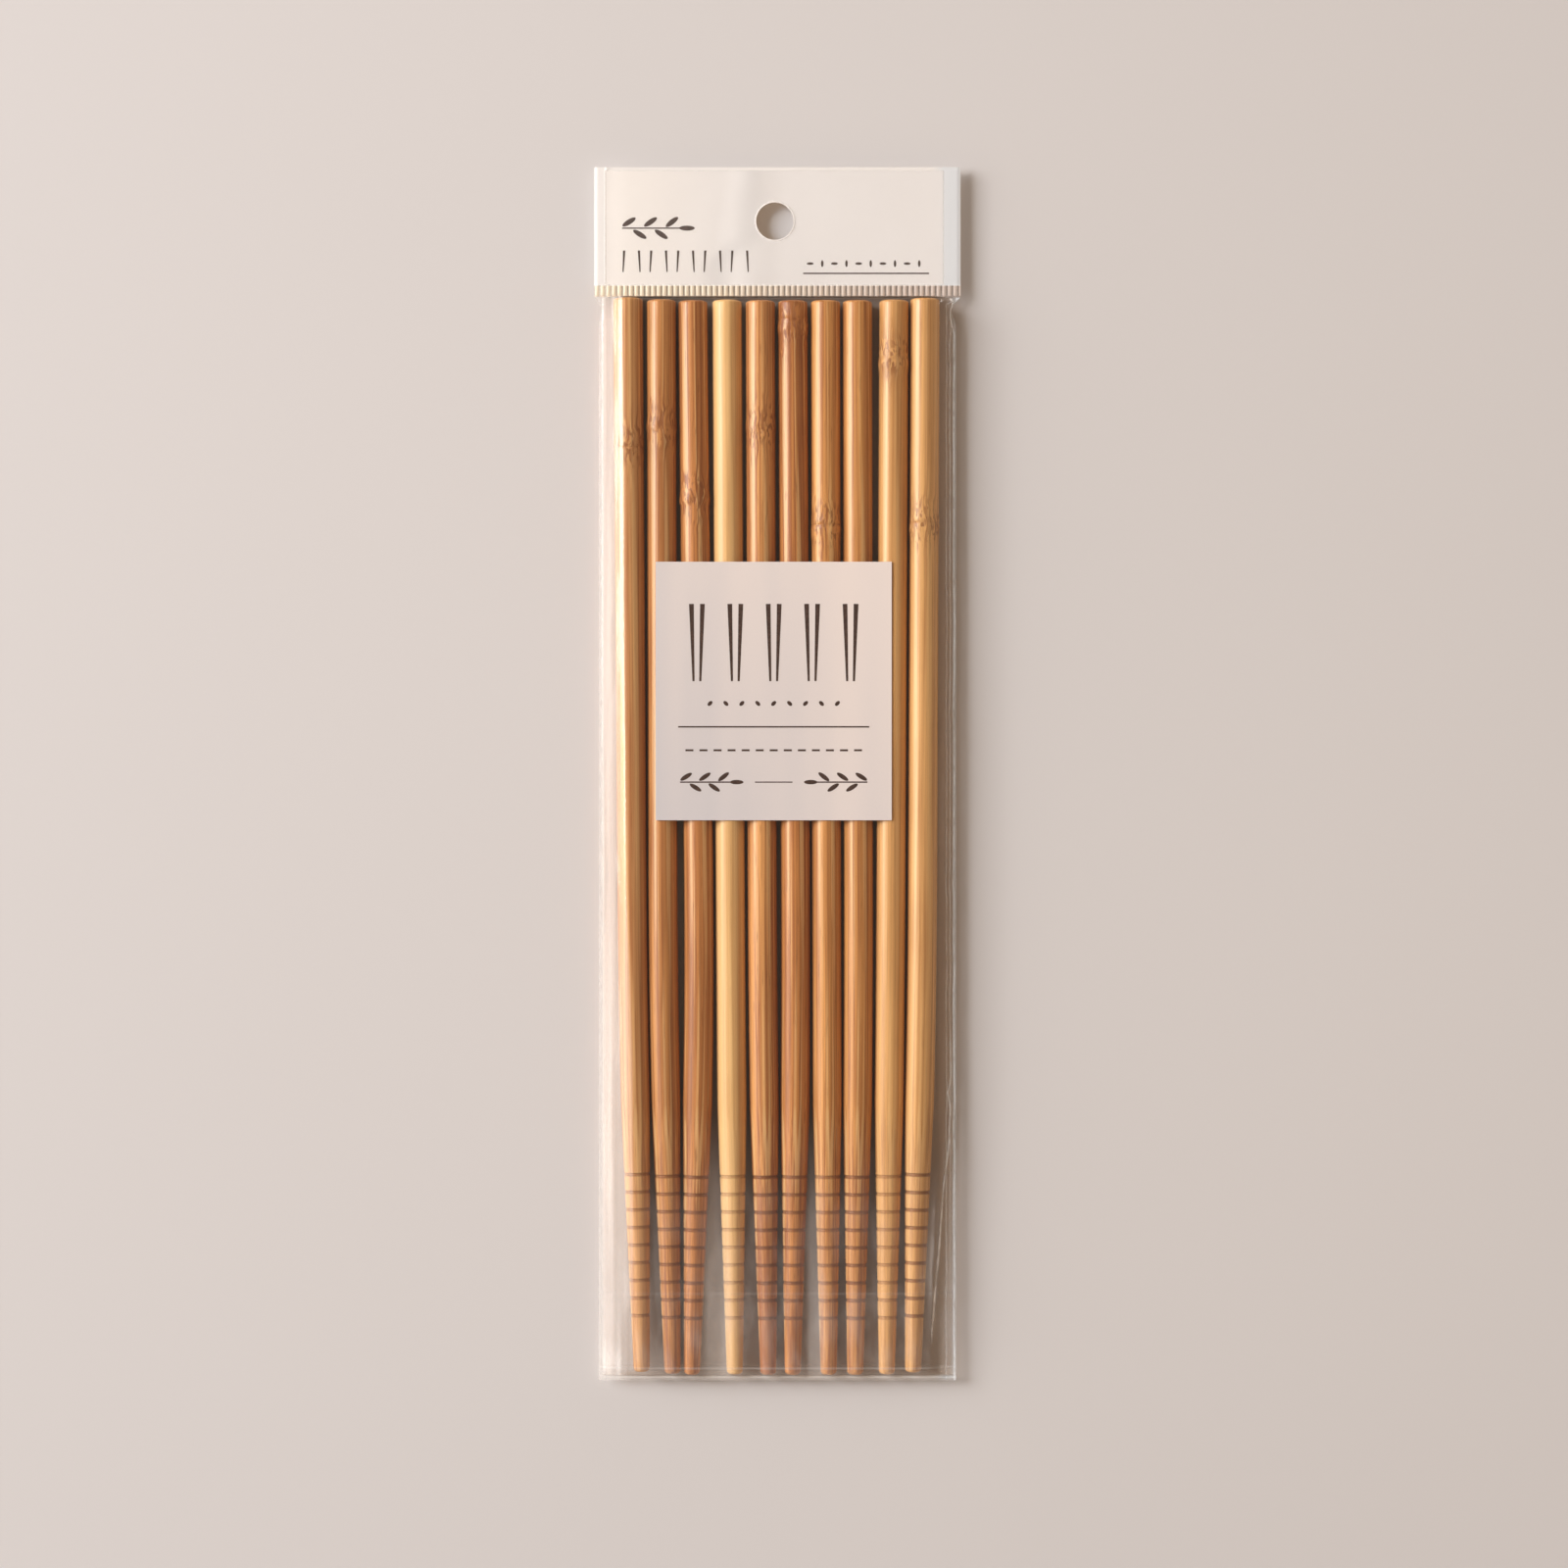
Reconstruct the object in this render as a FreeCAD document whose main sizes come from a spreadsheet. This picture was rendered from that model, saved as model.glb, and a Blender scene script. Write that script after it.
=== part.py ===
"""Ten bamboo chopsticks, packed side by side in a flat clear film bag with a white hanging header.

Frame, in millimetres: X runs across the pack, +Y runs from the tips to the header, +Z is up, off the
surface that the pack lies on. The origin is on that surface, under the middle of the pack.

The ten sticks lie on the back film, heads under the header. Each leans and bows a little in the plane
of the pack, as bamboo does. The front film rests on their crowns and sags a little between them. The
two films are welded together round the edge, at mid height, and run on upwards as the header, with a
white strip between them. The label lies on the crowns of the front film.
"""
import FreeCAD
import Part
import Sketcher
import os

STICKS = range(1, 11)
RINGS = range(9)

SIZES = {
    # Chopstick
    "stick_length": 230.0,
    "stick_diameter": 6.3,
    "tip_diameter": 3.45,
    "taper_length": 58.0,
    "bend_length": 50.0,
    "head_round": 0.35,
    "tip_round": 0.9,
    # Ring grooves near the tip
    "ring_pitch": 3.78,
    "ring_width": 0.55,
    "ring_depth": 0.12,
    "last_ring_from_tip": 12.2,
    # Film, and how it fits the sticks
    "film_thickness": 0.1,
    "film_clearance": 0.05,
    "film_sag": 0.35,
    "side_clearance": 0.25,
    "end_clearance": 0.15,
    "left_slack": 3.15,
    "right_slack": 3.57,
    # Welds
    "weld_height": 2.4,
    "side_weld": 0.8,
    "bottom_weld": 1.1,
    "top_weld": 0.5,
    # Slopes of the back film's tray
    "tray_side_slope": 2.4,
    "tray_tip_slope": 0.3,
    # Header
    "header_height": 25.4,
    "header_ear": 0.93,
    "band_height": 2.5,
    "rib_pitch": 1.2,
    "rib_width": 0.6,
    "rib_height": 0.15,
    "strip_thickness": 0.15,
    "strip_left_margin": 2.3,
    "strip_right_margin": 3.6,
    "strip_clearance": 0.2,
    "hole_diameter": 8.0,
    "hole_drop": 11.55,
    "hole_shift": -0.58,
    # Label
    "label_width": 50.4,
    "label_height": 55.2,
    "label_thickness": 0.15,
    "label_shift": -0.8,
    "label_drop": 56.9,
}

# Clear gap between each stick's head and the head to its left
HEAD_GAPS = [0.84, 0.42, 1.05, 0.84, 0.63, 0.73, 0.53, 1.57, 0.32]
# Degrees that each shaft leans to the right on its way to the tip
LEANS = [0.40, 0.13, 0.60, 0.31, 0.18, 0.28, 0.10, 0.10, -0.32, -0.25]
# Degrees that each stick turns to the right in its bend
BENDS = [0.93, 1.32, -1.78, 0.30, 0.69, -0.78, 0.20, -0.60, -0.20, -1.08]
# How far each stick lies above the lowest one
SLIDES = [0.6, 0.2, 0.0, 0.1, 0.0, 0.0, 0.0, 0.0, 0.1, 0.5]

# Half width of the film's flat on a crown, as a share of the stick's radius there
CROWN_FLAT = 0.3
# Corners of the film round the outer sticks stand this far apart, in degrees
WRAP_STEP = 30
# The cavity's cutter reaches this far under the weld
CUT_REACH = 1.0

doc = FreeCAD.newDocument("Chopsticks")


def make_sheet(name, rows):
    """Spreadsheet with one alias per row, and its value beside it."""
    sheet = doc.addObject("Spreadsheet::Sheet", name)
    for row, (alias, value) in enumerate(rows, start=1):
        sheet.set(f"A{row}", alias)
        sheet.set(f"B{row}", str(value))
        sheet.setAlias(f"B{row}", alias)
    return sheet


def driving_rows():
    """Every size that is set by hand."""
    rows = list(SIZES.items())
    rows += [(f"head_gap_{n:02d}", gap) for n, gap in zip(STICKS[1:], HEAD_GAPS)]
    rows += [(f"lean_{n:02d}", angle) for n, angle in zip(STICKS, LEANS)]
    rows += [(f"bend_{n:02d}", angle) for n, angle in zip(STICKS, BENDS)]
    rows += [(f"slide_{n:02d}", slide) for n, slide in zip(STICKS, SLIDES)]
    return rows


def placed_rows():
    """Places that follow from the sizes, as formulas."""
    gaps = " + ".join(f"Sizes.head_gap_{n:02d}" for n in STICKS[1:])
    slides = "; ".join(f"Sizes.slide_{n:02d}" for n in STICKS)
    rows = [
        ("radius", "Sizes.stick_diameter / 2"),
        ("tip_radius", "Sizes.tip_diameter / 2"),
        ("axis_height", "Sizes.film_thickness + Sizes.film_clearance + radius"),
        ("sticks_width", f"Sizes.stick_diameter * {len(STICKS)} + {gaps}"),
        ("pouch_half", "(Sizes.left_slack + sticks_width + Sizes.right_slack) / 2"),
        ("header_half", "pouch_half + Sizes.header_ear"),
        ("inner_length", f"Sizes.stick_length + max({slides}) + 2 * Sizes.end_clearance"),
        ("header_total", "Sizes.header_height + Sizes.band_height"),
        ("pack_length", "header_total + inner_length + 2 * Sizes.film_thickness + Sizes.bottom_weld"),
        ("top_edge", "pack_length / 2"),
        ("bottom_edge", "-pack_length / 2"),
        ("band_bottom", "top_edge - header_total"),
        ("band_top", "band_bottom + Sizes.band_height"),
        ("head_wall", "band_bottom - Sizes.film_thickness"),
        ("tip_wall", "head_wall - inner_length"),
        ("straight_length", "Sizes.stick_length - Sizes.taper_length - Sizes.bend_length"),
        ("bend_y", "head_wall - straight_length"),
        ("shoulder_y", "bend_y - Sizes.bend_length"),
        ("crown_height", "axis_height + radius + Sizes.film_clearance"),
        ("film_top", "crown_height + Sizes.film_thickness"),
        ("hole_y", "top_edge - Sizes.hole_drop"),
        ("label_top", "band_bottom - Sizes.label_drop"),
    ]
    for n in STICKS:
        lean = f"Sizes.lean_{n:02d}"
        bend = f"Sizes.bend_{n:02d}"
        if n == 1:
            head = "-pouch_half + Sizes.left_slack + radius"
        else:
            head = f"head_x_{n - 1:02d} + Sizes.stick_diameter + Sizes.head_gap_{n:02d}"
        rows += [
            (f"head_x_{n:02d}", head),
            (f"bend_x_{n:02d}", f"head_x_{n:02d} + straight_length * sin({lean})"),
            (f"shoulder_x_{n:02d}", f"bend_x_{n:02d} + Sizes.bend_length * sin({lean} + {bend} / 2)"),
            (f"tip_x_{n:02d}", f"shoulder_x_{n:02d} + Sizes.taper_length * sin({lean} + {bend})"),
            (f"stick_y_{n:02d}", f"tip_wall + Sizes.end_clearance + Sizes.slide_{n:02d}"
                                 f" + Sizes.taper_length * cos({lean} + {bend})"),
        ]
    return [(alias, "=" + formula) for alias, formula in rows]


sizes = make_sheet("Sizes", driving_rows())
places = make_sheet("Places", placed_rows())
doc.recompute()


def make_body(name):
    """Empty body, whose label names its file."""
    body = doc.addObject("PartDesign::Body", name)
    body.Label = name
    return body


def add_sketch(body, name, role, offset="0"):
    """Sketch on one of the body's own origin planes, moved along the plane's normal."""
    plane = [feature for feature in body.Origin.OriginFeatures if feature.Role == role][0]
    sketch = body.newObject("Sketcher::SketchObject", f"{body.Name}_{name}")
    sketch.AttachmentSupport = (plane, "")
    sketch.MapMode = "FlatFace"
    sketch.setExpression("AttachmentOffset.Base.z", offset)
    return sketch


def draw_outline(sketch, corners):
    """Closed outline whose corners are pairs of formulas, each held by two dimensions."""
    spots = [evaluate(sketch, x, y) for x, y in corners]
    sketch.addGeometry([Part.LineSegment(start, end) for start, end in zip(spots, spots[1:] + spots[:1])])
    joins = [Sketcher.Constraint("Coincident", line, 2, (line + 1) % len(spots), 1)
             for line in range(len(spots))]
    holds = []
    for line, ((x, y), spot) in enumerate(zip(corners, spots)):
        holds += [hold("DistanceX", line, 1, x, spot.x), hold("DistanceY", line, 1, y, spot.y)]
    constrain(sketch, [(join, None) for join in joins] + holds)


def evaluate(sketch, x, y):
    """Point whose coordinates are two formulas."""
    return FreeCAD.Vector(float(sketch.evalExpression(x)), float(sketch.evalExpression(y)), 0)


def hold(direction, geometry, end, formula, value):
    """Dimension from the sketch's origin to a point, or the axis itself where the formula is zero."""
    if formula == "0":
        axis = -2 if direction == "DistanceX" else -1
        return Sketcher.Constraint("PointOnObject", geometry, end, axis), None
    return Sketcher.Constraint(direction, -1, 1, geometry, end, value), formula


def constrain(sketch, rules):
    """Adds the constraints together, then binds those that have a formula."""
    first = sketch.ConstraintCount
    sketch.addConstraint([rule for rule, _ in rules])
    for index, (_, formula) in enumerate(rules, start=first):
        if formula:
            sketch.setExpression(f"Constraints[{index}]", formula)


def draw_circle(sketch, x, y, radius):
    """Circle whose centre and radius are formulas."""
    centre = evaluate(sketch, x, y)
    size = float(sketch.evalExpression(radius))
    circle = sketch.addGeometry(Part.Circle(centre, FreeCAD.Vector(0, 0, 1), size))
    constrain(sketch, [hold("DistanceX", circle, 3, x, centre.x), hold("DistanceY", circle, 3, y, centre.y),
                       (Sketcher.Constraint("Radius", circle, size), radius)])


def add_feature(body, kind, name, profile):
    """Sketch-based feature of a body."""
    feature = body.newObject(f"PartDesign::{kind}", f"{body.Name}_{name}")
    feature.Profile = profile
    return feature


def add_pad(body, name, sketch, length):
    """Pad along the sketch's normal."""
    pad = add_feature(body, "Pad", name, sketch)
    pad.setExpression("Length", length)
    return pad


def add_loft(body, kind, name, sketches):
    """Straight-sided loft through sketches with as many corners each."""
    loft = add_feature(body, kind, name, sketches[0])
    loft.Sections = sketches[1:]
    loft.Ruled = True
    return loft


def add_fillet(body, name, base, edge_at, radius):
    """Fillet on the one round edge whose centre is nearest to a point of the body."""
    edges = [(edge.Curve.Center.distanceToPoint(edge_at), number)
             for number, edge in enumerate(base.Shape.Edges, start=1) if hasattr(edge.Curve, "Center")]
    fillet = body.newObject("PartDesign::Fillet", f"{body.Name}_{name}")
    fillet.Base = (base, [f"Edge{min(edges)[1]}"])
    fillet.setExpression("Radius", radius)
    return fillet


# Chopstick


def taper_profile():
    """Half section of the tapered end and its ring grooves, from the shoulder down to the tip."""
    half = "Places.radius"
    corners = [("0", "0"), (half, "0")]
    for ring in reversed(RINGS):
        middle = f"(Sizes.taper_length - Sizes.last_ring_from_tip - {ring} * Sizes.ring_pitch)"
        for side in (-1, 1):
            down = f"({middle} + {side} * Sizes.ring_width / 2)"
            surface = f"({half} - ({half} - Places.tip_radius) * {down} / Sizes.taper_length)"
            steps = [(surface, f"-{down}"), (f"{surface} - Sizes.ring_depth", f"-{down}")]
            corners += steps if side < 0 else reversed(steps)
    corners += [("Places.tip_radius", "-Sizes.taper_length"), ("0", "-Sizes.taper_length")]
    return corners


def make_stick(number):
    """Tapered end turned about the body's Y axis, then the bend, then the straight shaft up to the head."""
    body = make_body(f"chopstick_{number:02d}")
    bend = f"Sizes.bend_{number:02d}"

    end_sketch = add_sketch(body, "end_profile", "XY_Plane")
    draw_outline(end_sketch, taper_profile())
    end = add_feature(body, "Revolution", "end", end_sketch)
    end.ReferenceAxis = (end_sketch, ["V_Axis"])
    end.Angle = 360

    # The bend turns a full section about an upright line beside the shoulder
    bend_sketch = add_sketch(body, "bend_profile", "XZ_Plane")
    draw_circle(bend_sketch, "0", "0", "Places.radius")
    turn_at = f"Sizes.bend_length * 180 / (pi * {bend})"
    low, high = evaluate(bend_sketch, turn_at, "-1"), evaluate(bend_sketch, turn_at, "1")
    line = bend_sketch.addGeometry(Part.LineSegment(low, high), True)
    constrain(bend_sketch, [
        hold("DistanceX", line, 1, turn_at, low.x),
        hold("DistanceY", line, 1, "-1", low.y),
        hold("DistanceX", line, 2, turn_at, high.x),
        hold("DistanceY", line, 2, "1", high.y),
    ])
    curve = add_feature(body, "Revolution", "bend", bend_sketch)
    curve.ReferenceAxis = (bend_sketch, ["Axis0"])
    curve.setExpression("Angle", f"abs({bend})")
    curve.Reversed = sizes.getPropertyByName(f"bend_{number:02d}") > 0
    doc.recompute()

    faces = [(face.CenterOfMass.y, index) for index, face in enumerate(curve.Shape.Faces, start=1)]
    shaft = add_pad(body, "shaft", (curve, [f"Face{max(faces)[1]}"]), "Places.straight_length")
    doc.recompute()

    head_end = max((edge.Curve.Center for edge in shaft.Shape.Edges if hasattr(edge.Curve, "Center")),
                   key=lambda centre: centre.y)
    head = add_fillet(body, "head_round", shaft, head_end, "Sizes.head_round")
    doc.recompute()
    tip_end = FreeCAD.Vector(0, -sizes.taper_length, 0)
    add_fillet(body, "tip_round", head, tip_end, "Sizes.tip_round")

    body.Placement = FreeCAD.Placement(FreeCAD.Vector(), FreeCAD.Rotation(FreeCAD.Vector(0, 0, 1), 1))
    body.setExpression("Placement.Base.x", f"Places.shoulder_x_{number:02d}")
    body.setExpression("Placement.Base.y", f"Places.stick_y_{number:02d}")
    body.setExpression("Placement.Base.z", "Places.axis_height")
    body.setExpression("Placement.Rotation.Angle", f"Sizes.lean_{number:02d} + {bend}")
    return body


# Film


def dome_corners(station, radius, grow, feet):
    """Section of the space under the front film, grown by a wall, from its left foot to its right foot.

    station names the sticks' places there, such as head or tip, radius is their radius there, and feet
    are the heights of the corners at each foot, from the lowest up."""
    top = f"(Places.axis_height + {radius} + Sizes.film_clearance + {grow})"
    foot = f"(Places.pouch_half - Sizes.side_weld - Sizes.film_thickness + {grow})"
    first, last = STICKS[0], STICKS[-1]
    wrap = f"(({radius} + Sizes.film_clearance) / cos({WRAP_STEP / 2}))"

    def wrap_corners(number, side):
        """Corners round an outer stick, from its side up to its crown."""
        centre = f"Places.{station}_x_{number:02d}"
        turns = [WRAP_STEP / 2 + step * WRAP_STEP for step in range(3)]
        return [(f"{centre} + {side} * ({wrap} * cos({turn}) + Sizes.side_clearance + {grow})",
                 f"Places.axis_height + {wrap} * sin({turn}) + {grow}") for turn in turns]

    corners = [(f"-{foot}", height) for height in feet]
    corners += wrap_corners(first, -1)
    for number in STICKS:
        centre = f"Places.{station}_x_{number:02d}"
        if number != first:
            before = f"Places.{station}_x_{number - 1:02d}"
            corners.append((f"({before} + {centre}) / 2", f"{top} - Sizes.film_sag"))
            corners.append((f"{centre} - {CROWN_FLAT} * {radius}", top))
        if number != last:
            corners.append((f"{centre} + {CROWN_FLAT} * {radius}", top))
    corners += reversed(wrap_corners(last, 1))
    corners += [(foot, height) for height in reversed(feet)]
    return corners


def dome_sections(body, name, grow, feet):
    """Sections at the head wall, at both ends of the bends and at the tip wall."""
    stations = [
        ("head", "Places.radius", f"Places.head_wall + {grow}"),
        ("bend", "Places.radius", "Places.bend_y"),
        ("shoulder", "Places.radius", "Places.shoulder_y"),
        ("tip", "Places.tip_radius", f"Places.tip_wall - {grow}"),
    ]
    sketches = []
    for station, radius, along in stations:
        sketch = add_sketch(body, f"{name}_{station}", "XZ_Plane", f"-({along})")
        draw_outline(sketch, dome_corners(station, radius, grow, feet))
        sketches.append(sketch)
    return sketches


def rectangle(left, right, bottom, top):
    """Corners of a rectangle, from four formulas."""
    return [(left, bottom), (right, bottom), (right, top), (left, top)]


def header_rectangle():
    """Outline of the header, with the ribbed weld."""
    return rectangle("-Places.header_half", "Places.header_half", "Places.band_bottom", "Places.top_edge")


def flange_outline():
    """Outer edge of the pack, wider at the header than along the bag."""
    bag, header = "Places.pouch_half", "Places.header_half"
    return [(f"-{bag}", "Places.bottom_edge"), (bag, "Places.bottom_edge"), (bag, "Places.band_bottom"),
            (header, "Places.band_bottom"), (header, "Places.top_edge"), (f"-{header}", "Places.top_edge"),
            (f"-{header}", "Places.band_bottom"), (f"-{bag}", "Places.band_bottom")]


def punch_hang_hole(body):
    """Hang hole through the whole header."""
    sketch = add_sketch(body, "hang_hole_outline", "XY_Plane")
    draw_circle(sketch, "Sizes.hole_shift", "Places.hole_y", "Sizes.hole_diameter / 2")
    hole = add_feature(body, "Pocket", "hang_hole", sketch)
    hole.Type = "ThroughAll"
    hole.Reversed = True
    return hole


def add_ribs(body):
    """Ribs of the knurled weld, side by side across the pack."""
    base = "Sizes.weld_height + Sizes.strip_thickness + Sizes.film_thickness"
    sketch = add_sketch(body, "rib_outline", "XY_Plane", base)
    left = "(-Places.header_half + (Sizes.rib_pitch - Sizes.rib_width) / 2)"
    right = f"{left} + Sizes.rib_width"
    draw_outline(sketch, rectangle(left, right, "Places.band_bottom", "Places.band_top"))
    rib = add_pad(body, "rib", sketch, "Sizes.rib_height")
    doc.recompute()
    ribs = body.newObject("PartDesign::LinearPattern", f"{body.Name}_ribs")
    ribs.Originals = [rib]
    ribs.Direction = (sketch, ["H_Axis"])
    count = "floor(2 * Places.header_half / Sizes.rib_pitch)"
    ribs.setExpression("Occurrences", count)
    ribs.setExpression("Length", f"({count} - 1) * Sizes.rib_pitch")
    body.Tip = ribs


def make_front_film():
    """Flange and header front, the dome over the sticks, and the ribbed weld under the header."""
    body = make_body("front_film")
    flange = add_sketch(body, "flange_outline", "XY_Plane", "Sizes.weld_height")
    draw_outline(flange, flange_outline())
    add_pad(body, "flange", flange, "Sizes.film_thickness")

    cover = add_sketch(body, "cover_outline", "XY_Plane", "Sizes.weld_height")
    draw_outline(cover, header_rectangle())
    add_pad(body, "cover", cover, "Sizes.strip_thickness + Sizes.film_thickness")

    outside = dome_sections(body, "outside", "Sizes.film_thickness", ["Sizes.weld_height"])
    add_loft(body, "AdditiveLoft", "dome", outside)

    below = f"Sizes.weld_height - {CUT_REACH}"
    inside = dome_sections(body, "inside", "0", [below, "Sizes.weld_height"])
    add_loft(body, "SubtractiveLoft", "cavity", inside)

    # Room for the white strip between the two films of the header
    room = add_sketch(body, "strip_room_outline", "XY_Plane", "Sizes.weld_height")
    side = "(Places.header_half - Sizes.side_weld)"
    draw_outline(room, rectangle(f"-{side}", side, "Places.band_top", "Places.top_edge - Sizes.top_weld"))
    strip_room = add_feature(body, "Pocket", "strip_room", room)
    strip_room.setExpression("Length", "Sizes.strip_thickness")
    strip_room.Reversed = True

    punch_hang_hole(body)
    add_ribs(body)
    return body


def make_back_film():
    """Flange and header back, and the shallow tray under the sticks."""
    body = make_body("back_film")
    wall = "Sizes.film_thickness"
    flange = add_sketch(body, "flange_outline", "XY_Plane", f"Sizes.weld_height - {wall}")
    draw_outline(flange, flange_outline())
    add_pad(body, "flange", flange, wall)

    def tray_section(name, height, share, inset):
        """Section of the tray, from share 0 at the weld to 1 at its floor, inset by the wall."""
        side = f"(Places.pouch_half - Sizes.side_weld - {share} * Sizes.tray_side_slope - {inset})"
        tip = f"Places.tip_wall - {wall} + {share} * Sizes.tray_tip_slope + {inset}"
        sketch = add_sketch(body, name, "XY_Plane", height)
        draw_outline(sketch, rectangle(f"-{side}", side, tip, f"Places.head_wall + {wall} - {inset}"))
        return sketch

    outside = [tray_section("outside_top", "Sizes.weld_height", "0", "0"),
               tray_section("outside_floor", "0", "1", "0")]
    add_loft(body, "AdditiveLoft", "tray", outside)
    inside = [tray_section("inside_top", "Sizes.weld_height", "0", wall),
              tray_section("inside_floor", wall, "1", wall)]
    add_loft(body, "SubtractiveLoft", "cavity", inside)
    punch_hang_hole(body)
    return body


def make_header_strip():
    """White strip between the two films of the header."""
    body = make_body("header_strip")
    outline = add_sketch(body, "outline", "XY_Plane", "Sizes.weld_height")
    draw_outline(outline, rectangle("-Places.header_half + Sizes.strip_left_margin",
                                    "Places.header_half - Sizes.strip_right_margin",
                                    "Places.band_top + Sizes.strip_clearance",
                                    "Places.top_edge - Sizes.top_weld - Sizes.strip_clearance"))
    add_pad(body, "strip", outline, "Sizes.strip_thickness")
    punch_hang_hole(body)
    return body


def make_label():
    """Square paper label that lies on the crowns of the front film."""
    body = make_body("label")
    outline = add_sketch(body, "outline", "XY_Plane", "Places.film_top")
    draw_outline(outline, rectangle("Sizes.label_shift - Sizes.label_width / 2",
                                    "Sizes.label_shift + Sizes.label_width / 2",
                                    "Places.label_top - Sizes.label_height", "Places.label_top"))
    add_pad(body, "card", outline, "Sizes.label_thickness")
    return body


def check_model(bodies):
    """Stops the script where a feature failed, cut nothing, or left a shape that isn't one solid."""
    for thing in doc.Objects:
        if {"Invalid", "Error"} & set(thing.State):
            raise RuntimeError(f"{thing.Name} failed: {thing.State}")
    for body in bodies:
        shape = body.Shape
        if shape.isNull() or not shape.isValid() or len(shape.Solids) != 1:
            raise RuntimeError(f"{body.Label} is not one valid solid")
        for feature in body.Group:
            if feature.TypeId in ("PartDesign::Pocket", "PartDesign::SubtractiveLoft"):
                if feature.Shape.Volume >= feature.BaseFeature.Shape.Volume:
                    raise RuntimeError(f"{feature.Name} cuts nothing")


def write_parts(bodies):
    """One STEP file for each piece, named by its label."""
    os.makedirs("parts", exist_ok=True)
    for body in bodies:
        body.Shape.exportStep(f"parts/{body.Label}.step")


bodies = [make_stick(number) for number in STICKS]
bodies += [make_front_film(), make_back_film(), make_header_strip(), make_label()]
doc.recompute()
check_model(bodies)
write_parts(bodies)
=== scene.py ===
"""Look of the ten bamboo chopsticks in their clear hanging bag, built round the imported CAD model.

Lengths in the lists, in the shapes and in the masks of the materials are millimetres in the model's
own frame: X across the pack, +Y towards the header, +Z up. The panel's lengths are metres, as
everything in the scene is, and so are the coordinates that a noise reads.
"""
import bpy
import math
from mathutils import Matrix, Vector, noise


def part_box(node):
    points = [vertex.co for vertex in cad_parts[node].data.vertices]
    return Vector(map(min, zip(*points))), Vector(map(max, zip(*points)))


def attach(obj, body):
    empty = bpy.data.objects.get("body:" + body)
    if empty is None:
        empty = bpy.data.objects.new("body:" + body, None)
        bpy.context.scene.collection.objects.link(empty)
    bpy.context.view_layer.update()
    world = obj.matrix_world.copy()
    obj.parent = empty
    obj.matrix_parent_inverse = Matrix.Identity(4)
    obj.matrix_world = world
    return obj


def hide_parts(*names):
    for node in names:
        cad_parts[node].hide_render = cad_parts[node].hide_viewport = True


bl_info = {
    "name": "Bamboo chopsticks in a hanging bag",
    "version": (1, 0, 0),
    "blender": (4, 5, 0),
    "location": "View3D > Sidebar > Chopsticks",
    "description": "Models the sticks, the clear bag, its header and its label, and the stage round them",
    "category": "Object",
}

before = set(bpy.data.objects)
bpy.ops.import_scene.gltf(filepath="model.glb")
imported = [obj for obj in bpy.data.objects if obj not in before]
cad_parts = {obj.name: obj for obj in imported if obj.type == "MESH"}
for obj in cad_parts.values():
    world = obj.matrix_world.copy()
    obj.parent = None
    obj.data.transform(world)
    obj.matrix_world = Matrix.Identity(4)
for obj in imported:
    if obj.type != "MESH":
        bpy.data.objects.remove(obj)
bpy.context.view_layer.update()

MM = 0.001
# Head centre, lean and bend in degrees, and place of the growth node from the head (0 for none)
STICKS = [
    (-32.025, 0.40, 0.93, 31.5),
    (-24.885, 0.13, 1.32, 27.0),
    (-18.165, 0.60, -1.78, 42.0),
    (-10.815, 0.31, 0.30, 0.0),
    (-3.675, 0.18, 0.69, 27.0),
    (3.255, 0.28, -0.78, 5.0),
    (10.285, 0.10, 0.20, 48.0),
    (17.115, 0.10, -0.60, 0.0),
    (24.985, -0.32, -0.20, 12.5),
    (31.605, -0.25, -1.08, 48.0),
]
STRAIGHT, BEND, TAPER = 122.0, 50.0, 58.0
LENGTH = STRAIGHT + BEND + TAPER
RADIUS, TIP_RADIUS = 3.15, 1.725
AXIS_HEIGHT = 3.3
RINGS = 9
RING_PITCH, RING_WIDTH, RING_DEPTH, RING_FROM_TIP = 3.78, 0.55, 0.12, 12.2
# Lit tone, deep tone, then the strength of streaks, flecks and rings, and the shade at the tip
TONES = [
    ((0.72, 0.385, 0.150), (0.42, 0.160, 0.050), 0.75, 0.2, 0.55, -0.15),
    ((0.68, 0.315, 0.100), (0.35, 0.120, 0.034), 0.80, 0.4, 0.70, 0.10),
    ((0.66, 0.280, 0.088), (0.34, 0.115, 0.030), 0.90, 0.7, 0.80, 0.05),
    ((0.90, 0.570, 0.240), (0.62, 0.310, 0.105), 0.55, 0.1, 0.40, 0.00),
    ((0.78, 0.380, 0.128), (0.40, 0.140, 0.042), 0.90, 0.7, 0.90, 0.40),
    ((0.65, 0.275, 0.080), (0.33, 0.105, 0.028), 0.90, 0.8, 0.75, -0.15),
    ((0.79, 0.385, 0.120), (0.42, 0.155, 0.042), 0.85, 0.5, 0.65, 0.05),
    ((0.75, 0.360, 0.110), (0.38, 0.135, 0.038), 0.80, 0.4, 0.80, 0.10),
    ((0.85, 0.480, 0.178), (0.52, 0.240, 0.075), 0.65, 0.2, 0.45, 0.00),
    ((0.86, 0.500, 0.190), (0.52, 0.240, 0.080), 0.70, 0.2, 0.75, 0.10),
]
# Places round a growth node at which a stick is cut and swells, with the share that it swells by
SWELLING = [(-2.2, 1.0), (-1.1, 1.022), (-0.25, 1.03), (0.0, 1.005), (0.25, 1.03), (1.1, 1.022),
            (2.2, 1.0)]

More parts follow.
